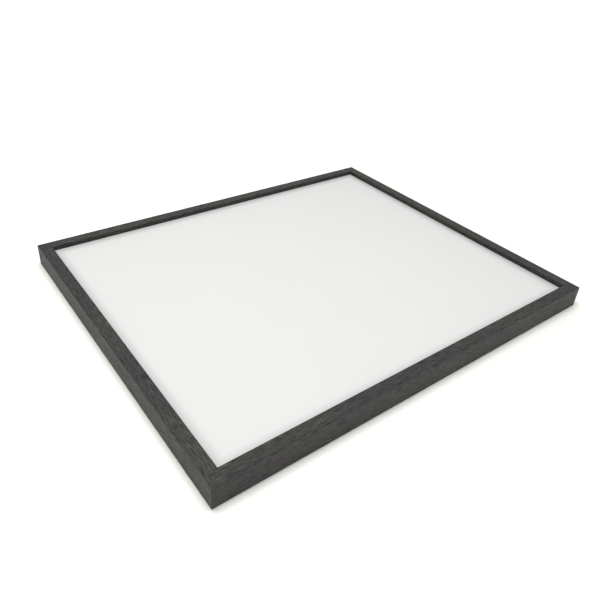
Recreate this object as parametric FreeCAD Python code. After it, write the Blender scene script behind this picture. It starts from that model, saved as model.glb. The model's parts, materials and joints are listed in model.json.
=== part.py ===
import FreeCAD, Part
import math
import os
from FreeCAD import Vector

# Light box in a picture-frame style case, millimetres.
# Four mitred rails hold an edge-lit panel: opal sheet, light guide and reflector, with an LED bar
# behind the front and the back rail. The controls sit in the right rail, the driver behind them.
# Origin: centre of the footprint on the table. +X along the long side, +Y to the back, +Z up.
#
# Parts that belong to a rail are drawn in rail coordinates and then placed on their side:
# s along the rail, u inward from its outer face (negative is outside), z up.

# ---- driving dimensions: case -------------------------------------------------------------
OUTER_X = 600.0
OUTER_Y = 500.0
RAIL_H = 31.0
FACE_W = 16.0
WALL_T = 10.0
LIP_T = 7.0
REBATE_EDGE = 4.0
PANEL_T = 3.0
FOOT_H = 1.0
TOP_ROUND = 1.0
EDGE_ROUND = 0.5

# ---- driving dimensions: optical stack, from the lip down ---------------------------------
OPAL_T = 3.0
GUIDE_T = 4.0
FILM_T = 0.5
METAL_T = 1.2
SHEET_GAP = 0.5
LED_PITCH = 10.0
LED_COUNT = 56

# ---- driving dimensions: controls ---------------------------------------------------------
CONTROL_S = 160.0
CONTROL_STEP = 19.0
PLATE_LENGTH = 80.0
PLATE_HEIGHT = 15.0
PLATE_T = 1.5
WINDOW_LENGTH = 62.0
WINDOW_HEIGHT = 12.0
PLATE_CORNER = 2.5
WINDOW_CORNER = 3.0
ROCKER_SWING = 20.0
RUNNING_GAP = 0.05

# ---- levels worked out from them ----------------------------------------------------------
Z_RAIL = FOOT_H
Z_TOP = Z_RAIL + RAIL_H
Z_STEP = Z_RAIL + PANEL_T
Z_LIP = Z_TOP - LIP_T
Z_OPAL = Z_LIP - OPAL_T
Z_GUIDE = Z_OPAL - GUIDE_T
Z_FILM = Z_GUIDE - FILM_T
Z_SHELF = Z_FILM - METAL_T
Z_CONTROL = (Z_STEP + Z_FILM) / 2
Z_BAR_SCREW = 11.0

# ---- places across a rail -----------------------------------------------------------------
LED_BOARD_T = 0.8
CHIP_T = 0.9
GUIDE_GAP = 0.3
U_LEG = WALL_T + METAL_T
U_BOARD = U_LEG + LED_BOARD_T
U_CHIP = U_BOARD + CHIP_T
U_GUIDE = U_CHIP + GUIDE_GAP
U_SHELF = 22.0
U_SCREW = 7.4

# rotation about Z from the front rail's place, and the distance from the centre to the outer face
SIDES = {
    "front": (0.0, OUTER_Y / 2),
    "right": (90.0, OUTER_X / 2),
    "back": (180.0, OUTER_Y / 2),
    "left": (-90.0, OUTER_X / 2),
}

BAR_SCREWS = [-240.0, -120.0, 0.0, 120.0, 240.0]
ANGLE_SCREWS = {"left": [-180.0, 0.0, 180.0], "right": [-180.0, -50.0, 60.0]}
PANEL_SCREWS = {
    "front": [-270.0, -180.0, -60.0, 60.0, 180.0, 270.0],
    "back": [-270.0, -180.0, -60.0, 60.0, 180.0, 270.0],
    "left": [-215.0, -75.0, 75.0, 215.0],
    "right": [-215.0, -75.0, 75.0, 215.0],
}
BATTEN_X = [-145.0, 0.0, 145.0]
BATTEN_WIDTH = 20.0
BATTEN_SCREW_Y = 150.0

nodes = {}


# ---- general shapes -----------------------------------------------------------------------
def block(a, b):
    """Box between two opposite corners, given in any order."""
    low = Vector(min(a[0], b[0]), min(a[1], b[1]), min(a[2], b[2]))
    high = Vector(max(a[0], b[0]), max(a[1], b[1]), max(a[2], b[2]))
    size = high - low
    return Part.makeBox(size.x, size.y, size.z, low)


def place(shape, side):
    """Move a shape from rail coordinates to its side of the case."""
    angle, half_span = SIDES[side]
    moved = shape.copy()
    moved.translate(Vector(0, -half_span, 0))
    moved.rotate(Vector(0, 0, 0), Vector(0, 0, 1), angle)
    return moved


def aim(shape, point, direction):
    """Turn a shape drawn along +Z from the origin so that it points along direction from point."""
    turned = shape.copy()
    turned.Placement = FreeCAD.Placement(point, FreeCAD.Rotation(Vector(0, 0, 1), direction))
    return turned


def inward_rod(s, z, u_start, u_end, radius):
    """Cylinder across a rail, in rail coordinates."""
    return Part.makeCylinder(radius, u_end - u_start, Vector(s, u_start, z), Vector(0, 1, 0))


def rounded_wire(points, radii):
    """Closed wire through the points, with each corner rounded to its own radius."""
    count = len(points)
    starts = []
    middles = []
    ends = []
    for i, corner in enumerate(points):
        back = (points[i - 1] - corner).normalize()
        ahead = (points[(i + 1) % count] - corner).normalize()
        half_angle = back.getAngle(ahead) / 2
        reach = radii[i] / math.tan(half_angle)
        inset = radii[i] / math.sin(half_angle) - radii[i]
        starts.append(corner + back * reach)
        middles.append(corner + (back + ahead).normalize() * inset)
        ends.append(corner + ahead * reach)
    edges = []
    for i in range(count):
        if radii[i] > 0:
            edges.append(Part.Arc(starts[i], middles[i], ends[i]).toShape())
        edges.append(Part.LineSegment(ends[i], starts[(i + 1) % count]).toShape())
    return Part.Wire(edges)


def rail_section(outline, radii, s_start, s_end):
    """Solid with a (u, z) outline, carried along a rail from s_start to s_end."""
    points = [Vector(s_start, u, z) for u, z in outline]
    return Part.Face(rounded_wire(points, radii)).extrude(Vector(s_end - s_start, 0, 0))


def control_tile(length, height, radius, u_start, u_end):
    """Rectangular tile with rounded corners, centred on the controls, from u_start to u_end."""
    corners = [(-1, -1), (1, -1), (1, 1), (-1, 1)]
    points = []
    for a, b in corners:
        points.append(Vector(CONTROL_S + a * length / 2, u_start, Z_CONTROL + b * height / 2))
    return Part.Face(rounded_wire(points, [radius] * 4)).extrude(Vector(0, u_end - u_start, 0))


def rims_at(shape, bound, level):
    """The first edge whose bound, such as YMax, is at a level: a cylinder's rim, to round or bevel."""
    return [edge for edge in shape.Edges if abs(getattr(edge.BoundBox, bound) - level) < 1e-6][:1]


def hex_prism(s, z, u_start, u_end, across_flats):
    """Hexagonal nut blank across a rail."""
    corner = across_flats / math.sqrt(3)
    points = []
    for i in range(6):
        angle = math.radians(60 * i)
        points.append(Vector(s + corner * math.cos(angle), u_start, z + corner * math.sin(angle)))
    return Part.Face(Part.makePolygon(points + points[:1])).extrude(Vector(0, u_end - u_start, 0))


# shares of a screw's head: the recess's width of its radius, the recess's depth and the rim's round
# of its height, and the recess's slot of the recess's width
RECESS_WIDTH = 1.2
RECESS_DEPTH = 0.6
RECESS_SLOT = 0.2
HEAD_ROUND = 0.45
HOLE_EASE = 0.1


def cross_recess(width, depth):
    """Cross-head recess that opens at the origin and goes down +Z."""
    narrow = width * RECESS_SLOT
    first = block((-width / 2, -narrow / 2, 0), (width / 2, narrow / 2, depth))
    second = block((-narrow / 2, -width / 2, 0), (narrow / 2, width / 2, depth))
    return first.fuse(second)


def countersunk_screw(head_r, shank_r, cone, length):
    """Screw with its flat head at the origin, and the hole that it needs in a thin sheet."""
    head = Part.makeCone(head_r, shank_r, cone)
    shank = Part.makeCylinder(shank_r, length)
    recess = cross_recess(head_r * RECESS_WIDTH, cone * RECESS_DEPTH)
    screw = head.fuse(shank).removeSplitter().cut(recess)
    hole = head.fuse(Part.makeCylinder(shank_r + HOLE_EASE, length))
    return screw, hole


def pan_screw(head_r, head_t, shank_r, length):
    """Screw whose pan head sits on the plane z = 0 and whose shank goes along +Z."""
    head = Part.makeCylinder(head_r, head_t, Vector(0, 0, -head_t))
    head = head.makeFillet(head_t * HEAD_ROUND, rims_at(head, "ZMax", -head_t))
    recess = cross_recess(head_r * RECESS_WIDTH, head_t * RECESS_DEPTH)
    recess.translate(Vector(0, 0, -head_t))
    return head.fuse(Part.makeCylinder(shank_r, length)).removeSplitter().cut(recess)


# an arc takes at most this share of the shorter run beside it
ARC_SHARE = 0.45


def wire_lead(points, radius, bend):
    """Round lead on straight runs joined by tangent arcs; returns the solid and its arc radii."""
    edges = []
    arcs = []
    start = points[0]
    for i in range(1, len(points) - 1):
        before = points[i - 1] - points[i]
        after = points[i + 1] - points[i]
        half_turn = (math.pi - before.getAngle(after)) / 2
        room = ARC_SHARE * min(before.Length, after.Length) / math.tan(half_turn)
        arc_r = min(bend, room)
        reach = arc_r * math.tan(half_turn)
        toward = Vector(before).normalize()
        away = Vector(after).normalize()
        bisector = (toward + away).normalize()
        arc_start = points[i] + toward * reach
        arc_end = points[i] + away * reach
        arc_middle = points[i] + bisector * (arc_r / math.cos(half_turn) - arc_r)
        edges.append(Part.LineSegment(start, arc_start).toShape())
        edges.append(Part.Arc(arc_start, arc_middle, arc_end).toShape())
        arcs.append(arc_r)
        start = arc_end
    edges.append(Part.LineSegment(start, points[-1]).toShape())
    path = Part.Wire(edges)
    section = Part.Wire(Part.makeCircle(radius, points[0], points[1] - points[0]))
    solid = Part.Solid(path.makePipeShell([section], True, False))
    expected = math.pi * radius * radius * path.Length
    print("lead volume over section times length:", round(solid.Volume / expected, 4))
    return solid, arcs


def add(name, *solids):
    """Keep one or several solids as a named node."""
    nodes[name] = solids[0] if len(solids) == 1 else Part.makeCompound(list(solids))


# ---- screws and their pilot holes ---------------------------------------------------------
PANEL_HEAD_R = 2.8
PANEL_CONE = 1.5
PANEL_SCREW_R = 1.5
PANEL_SCREW_L = 12.0
PLATE_HEAD_R = 2.3
PLATE_CONE = 1.2
PLATE_SCREW_R = 1.2
PLATE_SCREW_L = 9.0
PLATE_SCREW_REACH = 35.5
BAR_HEAD_R = 2.75
BAR_HEAD_T = 1.8
BAR_SCREW_R = 1.5
BAR_SCREW_L = 8.0
panel_screw, panel_screw_hole = countersunk_screw(PANEL_HEAD_R, PANEL_SCREW_R, PANEL_CONE, PANEL_SCREW_L)
plate_screw, plate_screw_hole = countersunk_screw(PLATE_HEAD_R, PLATE_SCREW_R, PLATE_CONE, PLATE_SCREW_L)
bar_screw = pan_screw(BAR_HEAD_R, BAR_HEAD_T, BAR_SCREW_R, BAR_SCREW_L)
PLATE_SCREW_S = [CONTROL_S - PLATE_SCREW_REACH, CONTROL_S + PLATE_SCREW_REACH]


def side_screw_hole(s):
    """Blind pilot hole for a bar or angle screw, in the rail's inner wall."""
    return inward_rod(s, Z_BAR_SCREW, U_LEG - BAR_SCREW_L, WALL_T, BAR_SCREW_R)


def side_screw(s):
    """Bar or angle screw, with its head on the metal leg and its shank in the wall."""
    return aim(bar_screw, Vector(s, U_LEG, Z_BAR_SCREW), Vector(0, -1, 0))


# ---- case: rails, corner nails, back panel, feet ------------------------------------------
def rail_blank(length):
    """Moulding with a lip over the sheets and a step for the back panel, mitred at both ends."""
    outline = [
        (0, Z_RAIL),
        (REBATE_EDGE, Z_RAIL),
        (REBATE_EDGE, Z_STEP),
        (WALL_T, Z_STEP),
        (WALL_T, Z_LIP),
        (FACE_W, Z_LIP),
        (FACE_W, Z_TOP),
        (0, Z_TOP),
    ]
    radii = [EDGE_ROUND, 0, 0, 0, 0, EDGE_ROUND, EDGE_ROUND, TOP_ROUND]
    rail = rail_section(outline, radii, -length / 2, length / 2)
    past = FACE_W + 4.0
    for sign in (-1, 1):
        corner = Vector(sign * length / 2, 0, 0)
        inner = Vector(sign * (length / 2 - past), past, 0)
        outer = Vector(sign * (length / 2 + past), past, 0)
        below = Vector(sign * (length / 2 + past), 0, 0)
        wedge = Part.Face(Part.makePolygon([corner, inner, outer, below, corner]))
        rail = rail.cut(wedge.extrude(Vector(0, 0, Z_TOP + past)))
    return rail


NAIL_LEG = 7.0
NAIL_T = 0.8
NAIL_H = 10.0
NAIL_U = 6.5


def corner_nail(sign_x, sign_y, level):
    """Right-angled nail pressed across a mitre from below."""
    z_low = Z_STEP + level * NAIL_H
    x_out = OUTER_X / 2 - NAIL_U + NAIL_T / 2
    y_out = OUTER_Y / 2 - NAIL_U + NAIL_T / 2
    x_in = x_out - NAIL_T - NAIL_LEG
    y_in = y_out - NAIL_T - NAIL_LEG
    along_x = block(
        (sign_x * x_in, sign_y * (y_out - NAIL_T), z_low),
        (sign_x * x_out, sign_y * y_out, z_low + NAIL_H),
    )
    along_y = block(
        (sign_x * (x_out - NAIL_T), sign_y * y_in, z_low),
        (sign_x * x_out, sign_y * y_out, z_low + NAIL_H),
    )
    return along_x.fuse(along_y).removeSplitter()


def make_case():
    nails = []
    for sign_x in (-1, 1):
        for sign_y in (-1, 1):
            for level in (0, 1):
                nails.append(corner_nail(sign_x, sign_y, level))
    add("corner_v_nails", *nails)

    for side in SIDES:
        length = OUTER_X if side in ("front", "back") else OUTER_Y
        rail = rail_blank(length)
        for s in PANEL_SCREWS[side]:
            pilot_l = PANEL_SCREW_L - PANEL_T
            rail = rail.cut(Part.makeCylinder(PANEL_SCREW_R, pilot_l, Vector(s, U_SCREW, Z_STEP)))
        for s in ANGLE_SCREWS.get(side, BAR_SCREWS):
            rail = rail.cut(side_screw_hole(s))
        if side == "right":
            rail = rail.cut(control_tile(PLATE_LENGTH, PLATE_HEIGHT, PLATE_CORNER, 0, PLATE_T))
            rail = rail.cut(control_tile(WINDOW_LENGTH, WINDOW_HEIGHT, WINDOW_CORNER, 0, WALL_T))
            for s in PLATE_SCREW_S:
                rail = rail.cut(inward_rod(s, Z_CONTROL, 0, PLATE_SCREW_L, PLATE_SCREW_R))
        rail = place(rail, side)
        add("rail_" + side, rail.cut(nodes["corner_v_nails"]))


VENT_COUNT = 7
VENT_PITCH = 8.0
VENT_LENGTH = 44.0
VENT_WIDTH = 3.0
FOOT_INSET = 30.0
FOOT_R = 6.0
FOOT_TAPER = 0.6
PANEL_GAP = 0.4
BATTEN_GAP = 2.0


def make_back():
    half_x = OUTER_X / 2 - REBATE_EDGE - PANEL_GAP
    half_y = OUTER_Y / 2 - REBATE_EDGE - PANEL_GAP
    panel = block((-half_x, -half_y, Z_RAIL), (half_x, half_y, Z_STEP))
    places = []
    for side, positions in PANEL_SCREWS.items():
        for s in positions:
            places.append(place(Part.Vertex(s, U_SCREW, Z_RAIL), side).Point)
    for x in BATTEN_X:
        for y in (-BATTEN_SCREW_Y, BATTEN_SCREW_Y):
            places.append(Vector(x, y, Z_RAIL))
    up = Vector(0, 0, 1)
    for point in places:
        panel = panel.cut(aim(panel_screw_hole, point, up))
    for i in range(VENT_COUNT):
        x = DRIVER_X + (i - (VENT_COUNT - 1) / 2) * VENT_PITCH
        low = DRIVER_Y - VENT_LENGTH / 2
        high = DRIVER_Y + VENT_LENGTH / 2
        slot = block((x - VENT_WIDTH / 2, low, 0), (x + VENT_WIDTH / 2, high, Z_STEP + 1))
        for y in (low, high):
            slot = slot.fuse(Part.makeCylinder(VENT_WIDTH / 2, Z_STEP + 1, Vector(x, y, 0)))
        panel = panel.cut(slot)
    for x, y in spacer_places():
        bottom = Vector(x, y, Z_STEP - SPACER_SCREW_BITE)
        panel = panel.cut(Part.makeCylinder(SPACER_SCREW_R, SPACER_SCREW_BITE, bottom))
    add("back_panel", panel)
    add("back_panel_screws", *[aim(panel_screw, point, up) for point in places])

    for x, x_name in ((-1, "left"), (1, "right")):
        for y, y_name in ((-1, "front"), (1, "back")):
            centre = Vector(x * (OUTER_X / 2 - FOOT_INSET), y * (OUTER_Y / 2 - FOOT_INSET), 0)
            foot = Part.makeCone(FOOT_R - FOOT_TAPER, FOOT_R, FOOT_H, centre)
            add("foot_" + y_name + "_" + x_name, foot)

    names = ("left", "middle", "right")
    for name, x in zip(names, BATTEN_X):
        half_l = OUTER_Y / 2 - U_SHELF - BATTEN_GAP
        batten = block(
            (x - BATTEN_WIDTH / 2, -half_l, Z_STEP),
            (x + BATTEN_WIDTH / 2, half_l, Z_FILM),
        )
        for y in (-BATTEN_SCREW_Y, BATTEN_SCREW_Y):
            pilot_l = PANEL_SCREW_L - PANEL_T
            batten = batten.cut(Part.makeCylinder(PANEL_SCREW_R, pilot_l, Vector(x, y, Z_STEP)))
        add("support_batten_" + name, batten)


# ---- optical stack ------------------------------------------------------------------------
def make_sheets():
    opal_x = OUTER_X / 2 - WALL_T - SHEET_GAP
    opal_y = OUTER_Y / 2 - WALL_T - SHEET_GAP
    guide_x = OUTER_X / 2 - WALL_T - SHEET_GAP
    guide_y = OUTER_Y / 2 - U_GUIDE
    add("diffuser_sheet", block((-opal_x, -opal_y, Z_OPAL), (opal_x, opal_y, Z_LIP)))
    add("light_guide_plate", block((-guide_x, -guide_y, Z_GUIDE), (guide_x, guide_y, Z_OPAL)))
    add("reflector_film", block((-guide_x, -guide_y, Z_FILM), (guide_x, guide_y, Z_GUIDE)))


BAR_FOOT_Z = 6.0
BOARD_HALF = 280.0
LEAD_NOTCH = (283.6, 287.6)
NOTCH_DEPTH = 3.2
BAR_GAP = 0.2
CHIP_HALF_S = 1.75
CHIP_HALF_Z = 1.4
ANGLE_GAP = 0.3
# on the right the angle stops short of the controls
ANGLE_END_RIGHT = 100.0


def make_light_bars():
    half = OUTER_X / 2 - WALL_T - SHEET_GAP
    outline = [
        (WALL_T, BAR_FOOT_Z),
        (U_LEG, BAR_FOOT_Z),
        (U_LEG, Z_SHELF),
        (U_SHELF, Z_SHELF),
        (U_SHELF, Z_FILM),
        (U_LEG, Z_FILM),
        (U_LEG, Z_OPAL - BAR_GAP),
        (WALL_T, Z_OPAL - BAR_GAP),
    ]
    z_mid = (Z_GUIDE + Z_OPAL) / 2
    for side in ("front", "back"):
        # the leads come up at the end next to the right rail
        end = 1 if side == "front" else -1
        bar = rail_section(outline, [0] * len(outline), -half, half)
        for s in BAR_SCREWS:
            bar = bar.cut(inward_rod(s, Z_BAR_SCREW, WALL_T, U_LEG, BAR_SCREW_R + HOLE_EASE))
        notch = block(
            (end * LEAD_NOTCH[0], U_LEG, Z_SHELF),
            (end * LEAD_NOTCH[1], U_LEG + NOTCH_DEPTH, Z_FILM),
        )
        add("led_bar_" + side, place(bar.cut(notch), side))
        board = block((-BOARD_HALF, U_LEG, Z_FILM + BAR_GAP), (BOARD_HALF, U_BOARD, Z_OPAL - BAR_GAP))
        add("led_board_" + side, place(board, side))
        chips = []
        for i in range(LED_COUNT):
            s = (i - (LED_COUNT - 1) / 2) * LED_PITCH
            chip = block(
                (s - CHIP_HALF_S, U_BOARD, z_mid - CHIP_HALF_Z),
                (s + CHIP_HALF_S, U_CHIP, z_mid + CHIP_HALF_Z),
            )
            chips.append(place(chip, side))
        add("led_chips_" + side, *chips)
    screws = [place(side_screw(s), side) for side in ("front", "back") for s in BAR_SCREWS]
    add("led_bar_screws", *screws)


def make_shelf_angles():
    outline = [
        (WALL_T, BAR_FOOT_Z),
        (U_LEG, BAR_FOOT_Z),
        (U_LEG, Z_SHELF),
        (U_SHELF, Z_SHELF),
        (U_SHELF, Z_FILM),
        (WALL_T, Z_FILM),
    ]
    reach = OUTER_Y / 2 - U_SHELF - ANGLE_GAP
    spans = {"left": (-reach, reach), "right": (-reach, ANGLE_END_RIGHT)}
    screws = []
    for side, (start, end) in spans.items():
        angle = rail_section(outline, [0] * len(outline), start, end)
        for s in ANGLE_SCREWS[side]:
            angle = angle.cut(inward_rod(s, Z_BAR_SCREW, WALL_T, U_LEG, BAR_SCREW_R + HOLE_EASE))
            screws.append(place(side_screw(s), side))
        add("shelf_angle_" + side, place(angle, side))
    add("shelf_angle_screws", *screws)


# ---- controls in the right rail -----------------------------------------------------------
JACK_S = CONTROL_S - CONTROL_STEP
DIMMER_S = CONTROL_S + CONTROL_STEP
JACK_BARREL_R = 4.0
JACK_BORE_R = 2.85
JACK_PIN_R = 1.05
SWITCH_BODY_S = 14.0
SWITCH_BODY_Z = 9.2
SWITCH_CORNER = 0.4
SNAP_GAP = 0.2
BUSHING_R = 3.5
SHAFT_R = 3.0
TAG_END_U = 17.0
BLADE_PLACES = (CONTROL_S - 3.5, CONTROL_S + 3.5)


def make_control_plate():
    plate = control_tile(PLATE_LENGTH, PLATE_HEIGHT, PLATE_CORNER, 0, PLATE_T)
    plate = plate.cut(inward_rod(JACK_S, Z_CONTROL, 0, PLATE_T, JACK_BARREL_R + RUNNING_GAP))
    plate = plate.cut(inward_rod(DIMMER_S, Z_CONTROL, 0, PLATE_T, BUSHING_R + RUNNING_GAP))
    plate = plate.cut(
        control_tile(SWITCH_BODY_S + SNAP_GAP, SWITCH_BODY_Z + SNAP_GAP, SWITCH_CORNER, 0, PLATE_T)
    )
    screws = []
    for s in PLATE_SCREW_S:
        point = Vector(s, 0, Z_CONTROL)
        plate = plate.cut(aim(plate_screw_hole, point, Vector(0, 1, 0)))
        screws.append(place(aim(plate_screw, point, Vector(0, 1, 0)), "right"))
    add("control_plate", place(plate, "right"))
    add("control_plate_screws", *screws)


def make_jack():
    flange_t = 1.6
    flange_r = 5.25
    flange_bevel = 0.4
    bore_end = 7.9
    barrel_end = 11.0
    cap_end = 12.2
    cap_r = 3.6
    pin_start = 0.4
    pin_end = 14.0
    nose_round = 0.6
    nut_end = PLATE_T + 2.0
    nut_flats = 10.0
    tag_half_s = 0.9
    tag_half_z = 0.25
    shell_tag_drop = 2.5

    flange = inward_rod(JACK_S, Z_CONTROL, -flange_t, 0, flange_r)
    flange = flange.makeChamfer(flange_bevel, rims_at(flange, "YMax", -flange_t))
    shell = flange.fuse(inward_rod(JACK_S, Z_CONTROL, 0, barrel_end, JACK_BARREL_R))
    shell = shell.cut(inward_rod(JACK_S, Z_CONTROL, -flange_t, barrel_end, JACK_BORE_R))
    add("dc_jack_shell", place(shell.removeSplitter(), "right"))

    core = inward_rod(JACK_S, Z_CONTROL, bore_end, barrel_end, JACK_BORE_R)
    core = core.fuse(inward_rod(JACK_S, Z_CONTROL, barrel_end, cap_end, cap_r))
    core = core.cut(inward_rod(JACK_S, Z_CONTROL, bore_end, cap_end, JACK_PIN_R))
    add("dc_jack_insulator", place(core.removeSplitter(), "right"))

    pin = inward_rod(JACK_S, Z_CONTROL, pin_start, pin_end, JACK_PIN_R)
    pin = pin.makeFillet(nose_round, rims_at(pin, "YMax", pin_start))
    add("dc_jack_pin", place(pin, "right"))

    nut = hex_prism(JACK_S, Z_CONTROL, PLATE_T, nut_end, nut_flats)
    nut = nut.cut(inward_rod(JACK_S, Z_CONTROL, PLATE_T, nut_end, JACK_BARREL_R))
    add("dc_jack_nut", place(nut, "right"))

    tags = []
    for start, z_tag in ((pin_end, Z_CONTROL), (cap_end, Z_CONTROL - shell_tag_drop)):
        tag = block(
            (JACK_S - tag_half_s, start, z_tag - tag_half_z),
            (JACK_S + tag_half_s, TAG_END_U, z_tag + tag_half_z),
        )
        tags.append(place(tag, "right"))
    add("dc_jack_tags", *tags)


PIVOT_R = 0.9


def rocker_solid():
    """Rocker about its pivot at u = 0: arc ends centred on the pivot, a shallow V for the finger."""
    end_r = 6.2
    tip = 2.9
    dip = 2.2
    base = 1.5
    half_z = 3.5
    tip_s = math.sqrt(end_r ** 2 - tip ** 2)
    base_s = math.sqrt(end_r ** 2 - base ** 2)
    z_low = Z_CONTROL - half_z

    def at(ds, du):
        return Vector(CONTROL_S + ds, du, z_low)

    edges = [
        Part.LineSegment(at(-tip_s, -tip), at(0, -dip)).toShape(),
        Part.LineSegment(at(0, -dip), at(tip_s, -tip)).toShape(),
        Part.Arc(at(tip_s, -tip), at(end_r, 0), at(base_s, base)).toShape(),
        Part.LineSegment(at(base_s, base), at(-base_s, base)).toShape(),
        Part.Arc(at(-base_s, base), at(-end_r, 0), at(-tip_s, -tip)).toShape(),
    ]
    rocker = Part.Face(Part.Wire(edges)).extrude(Vector(0, 0, 2 * half_z))
    pivot_half = 4.25
    foot = Vector(CONTROL_S, 0, Z_CONTROL - pivot_half)
    pivot = Part.makeCylinder(PIVOT_R, 2 * pivot_half, foot)
    rocker = rocker.fuse(pivot)
    rocker.rotate(Vector(CONTROL_S, 0, Z_CONTROL), Vector(0, 0, 1), -ROCKER_SWING / 2)
    return rocker


def make_switch():
    bezel_t = 2.0
    bezel_s = 16.0
    bezel_z = 11.2
    bezel_corner = 1.2
    body_end = 12.0
    well_s = 12.8
    well_z = 7.3
    well_corner = 0.1
    well_end = 4.5
    bearing_half = 4.3
    blade_half_s = 0.25
    blade_half_z = 1.4

    housing = control_tile(bezel_s, bezel_z, bezel_corner, -bezel_t, 0)
    body = control_tile(SWITCH_BODY_S, SWITCH_BODY_Z, SWITCH_CORNER, 0, body_end)
    housing = housing.fuse(body).removeSplitter()
    housing = housing.cut(control_tile(well_s, well_z, well_corner, -bezel_t, well_end))
    foot = Vector(CONTROL_S, 0, Z_CONTROL - bearing_half)
    housing = housing.cut(Part.makeCylinder(PIVOT_R + RUNNING_GAP, 2 * bearing_half, foot))
    add("switch_housing", place(housing, "right"))
    add("switch_rocker", place(rocker_solid(), "right"))
    blades = []
    for s in BLADE_PLACES:
        blade = block(
            (s - blade_half_s, body_end, Z_CONTROL - blade_half_z),
            (s + blade_half_s, TAG_END_U, Z_CONTROL + blade_half_z),
        )
        blades.append(place(blade, "right"))
    add("switch_terminals", *blades)


KNOB_R = 6.5
KNOB_OUT = 6.4
KNOB_BACK = 0.4
KNOB_FLUTES = 24
SHAFT_OUT = 5.2
SHAFT_STEP = 2.2
DIMMER_TAG_END = 14.0
DIMMER_TAG_STEP = 2.5


def shaft_with_flat():
    """Knob end of the dimmer shaft, with the flat that stops the knob from slipping."""
    end = inward_rod(DIMMER_S, Z_CONTROL, -SHAFT_OUT, -SHAFT_STEP, SHAFT_R)
    flat_z = Z_CONTROL + SHAFT_R / 2
    low = (DIMMER_S - SHAFT_R, -SHAFT_OUT, flat_z)
    high = (DIMMER_S + SHAFT_R, -SHAFT_STEP, flat_z + SHAFT_R)
    return end.cut(block(low, high))


def fluted_knob():
    """Knob with a hollow back, a socket for the shaft's flat end, and a groove for the pointer."""
    rim_round = 0.6
    hollow_r = 5.5
    flute_r = 0.5
    flute_place = KNOB_R + 0.2
    pointer_half = 0.4
    pointer_depth = 0.6
    pointer_span = (2.0, 5.6)

    knob = inward_rod(DIMMER_S, Z_CONTROL, -KNOB_OUT, -KNOB_BACK, KNOB_R)
    knob = knob.makeFillet(rim_round, rims_at(knob, "YMax", -KNOB_OUT))
    knob = knob.cut(inward_rod(DIMMER_S, Z_CONTROL, -SHAFT_STEP, -KNOB_BACK, hollow_r))
    knob = knob.cut(shaft_with_flat())
    for i in range(KNOB_FLUTES):
        angle = math.radians(360.0 / KNOB_FLUTES * (i + 0.5))
        s = DIMMER_S + flute_place * math.cos(angle)
        z = Z_CONTROL + flute_place * math.sin(angle)
        knob = knob.cut(inward_rod(s, z, -KNOB_OUT, -KNOB_BACK, flute_r))
    pointer = block(
        (DIMMER_S - pointer_half, -KNOB_OUT, Z_CONTROL + pointer_span[0]),
        (DIMMER_S + pointer_half, -KNOB_OUT + pointer_depth, Z_CONTROL + pointer_span[1]),
    )
    return knob.cut(pointer), pointer


def make_dimmer():
    half_s = 4.9
    half_z = 5.2
    bushing_out = 2.0
    base_u = 3.5
    base_end = base_u + 0.8
    case_end = 10.5
    rotor_start = base_end + 0.1
    rotor_end = rotor_start + 2.1
    rotor_r = 4.2
    rotor_well_end = rotor_end + 0.1
    rotor_well_r = rotor_r + 0.1
    shaft_end = 9.5
    shaft_well_end = shaft_end + 0.1
    nut_t = 1.6
    nut_flats = 9.0
    tag_half_s = 0.4
    tag_half_z = 0.15
    tag_z = Z_CONTROL - 3.0

    bushing = block(
        (DIMMER_S - half_s, base_u, Z_CONTROL - half_z),
        (DIMMER_S + half_s, base_end, Z_CONTROL + half_z),
    )
    bushing = bushing.fuse(inward_rod(DIMMER_S, Z_CONTROL, -bushing_out, base_u, BUSHING_R))
    bore_r = SHAFT_R + RUNNING_GAP
    bushing = bushing.cut(inward_rod(DIMMER_S, Z_CONTROL, -bushing_out, base_end, bore_r))
    add("dimmer_bushing", place(bushing.removeSplitter(), "right"))

    case = block(
        (DIMMER_S - half_s, base_end, Z_CONTROL - half_z),
        (DIMMER_S + half_s, case_end, Z_CONTROL + half_z),
    )
    case = case.cut(inward_rod(DIMMER_S, Z_CONTROL, base_end, rotor_well_end, rotor_well_r))
    case = case.cut(inward_rod(DIMMER_S, Z_CONTROL, rotor_well_end, shaft_well_end, bore_r))
    add("dimmer_case", place(case, "right"))

    nut = hex_prism(DIMMER_S, Z_CONTROL, -nut_t, 0, nut_flats)
    nut = nut.cut(inward_rod(DIMMER_S, Z_CONTROL, -nut_t, 0, BUSHING_R))
    add("dimmer_nut", place(nut, "right"))

    shaft = inward_rod(DIMMER_S, Z_CONTROL, -SHAFT_STEP, shaft_end, SHAFT_R)
    shaft = shaft.fuse(inward_rod(DIMMER_S, Z_CONTROL, rotor_start, rotor_end, rotor_r))
    shaft = shaft.fuse(shaft_with_flat()).removeSplitter()
    add("dimmer_shaft", place(shaft, "right"))

    knob, pointer = fluted_knob()
    add("dimmer_knob", place(knob, "right"))
    add("dimmer_pointer", place(pointer, "right"))

    tags = []
    for i in range(3):
        s = DIMMER_S + (i - 1) * DIMMER_TAG_STEP
        tag = block(
            (s - tag_half_s, case_end, tag_z - tag_half_z),
            (s + tag_half_s, DIMMER_TAG_END, tag_z + tag_half_z),
        )
        tags.append(place(tag, "right"))
    add("dimmer_tags", *tags)


# ---- driver board on the back panel -------------------------------------------------------
DRIVER_X = 238.0
DRIVER_Y = 160.0
BOARD_X = 26.0
BOARD_Y = 60.0
BOARD_T = 1.6
SPACER_H = 3.0
SPACER_R = 2.5
SPACER_INSET = 3.0
SPACER_SCREW_R = 1.25
SPACER_SCREW_BITE = 2.0
Z_BOARD = Z_STEP + SPACER_H
Z_PARTS = Z_BOARD + BOARD_T
BLOCK_H = 7.2
BLOCK_INSET = 0.6
LEAD_HOLE_Z = Z_PARTS + 3.0


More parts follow.
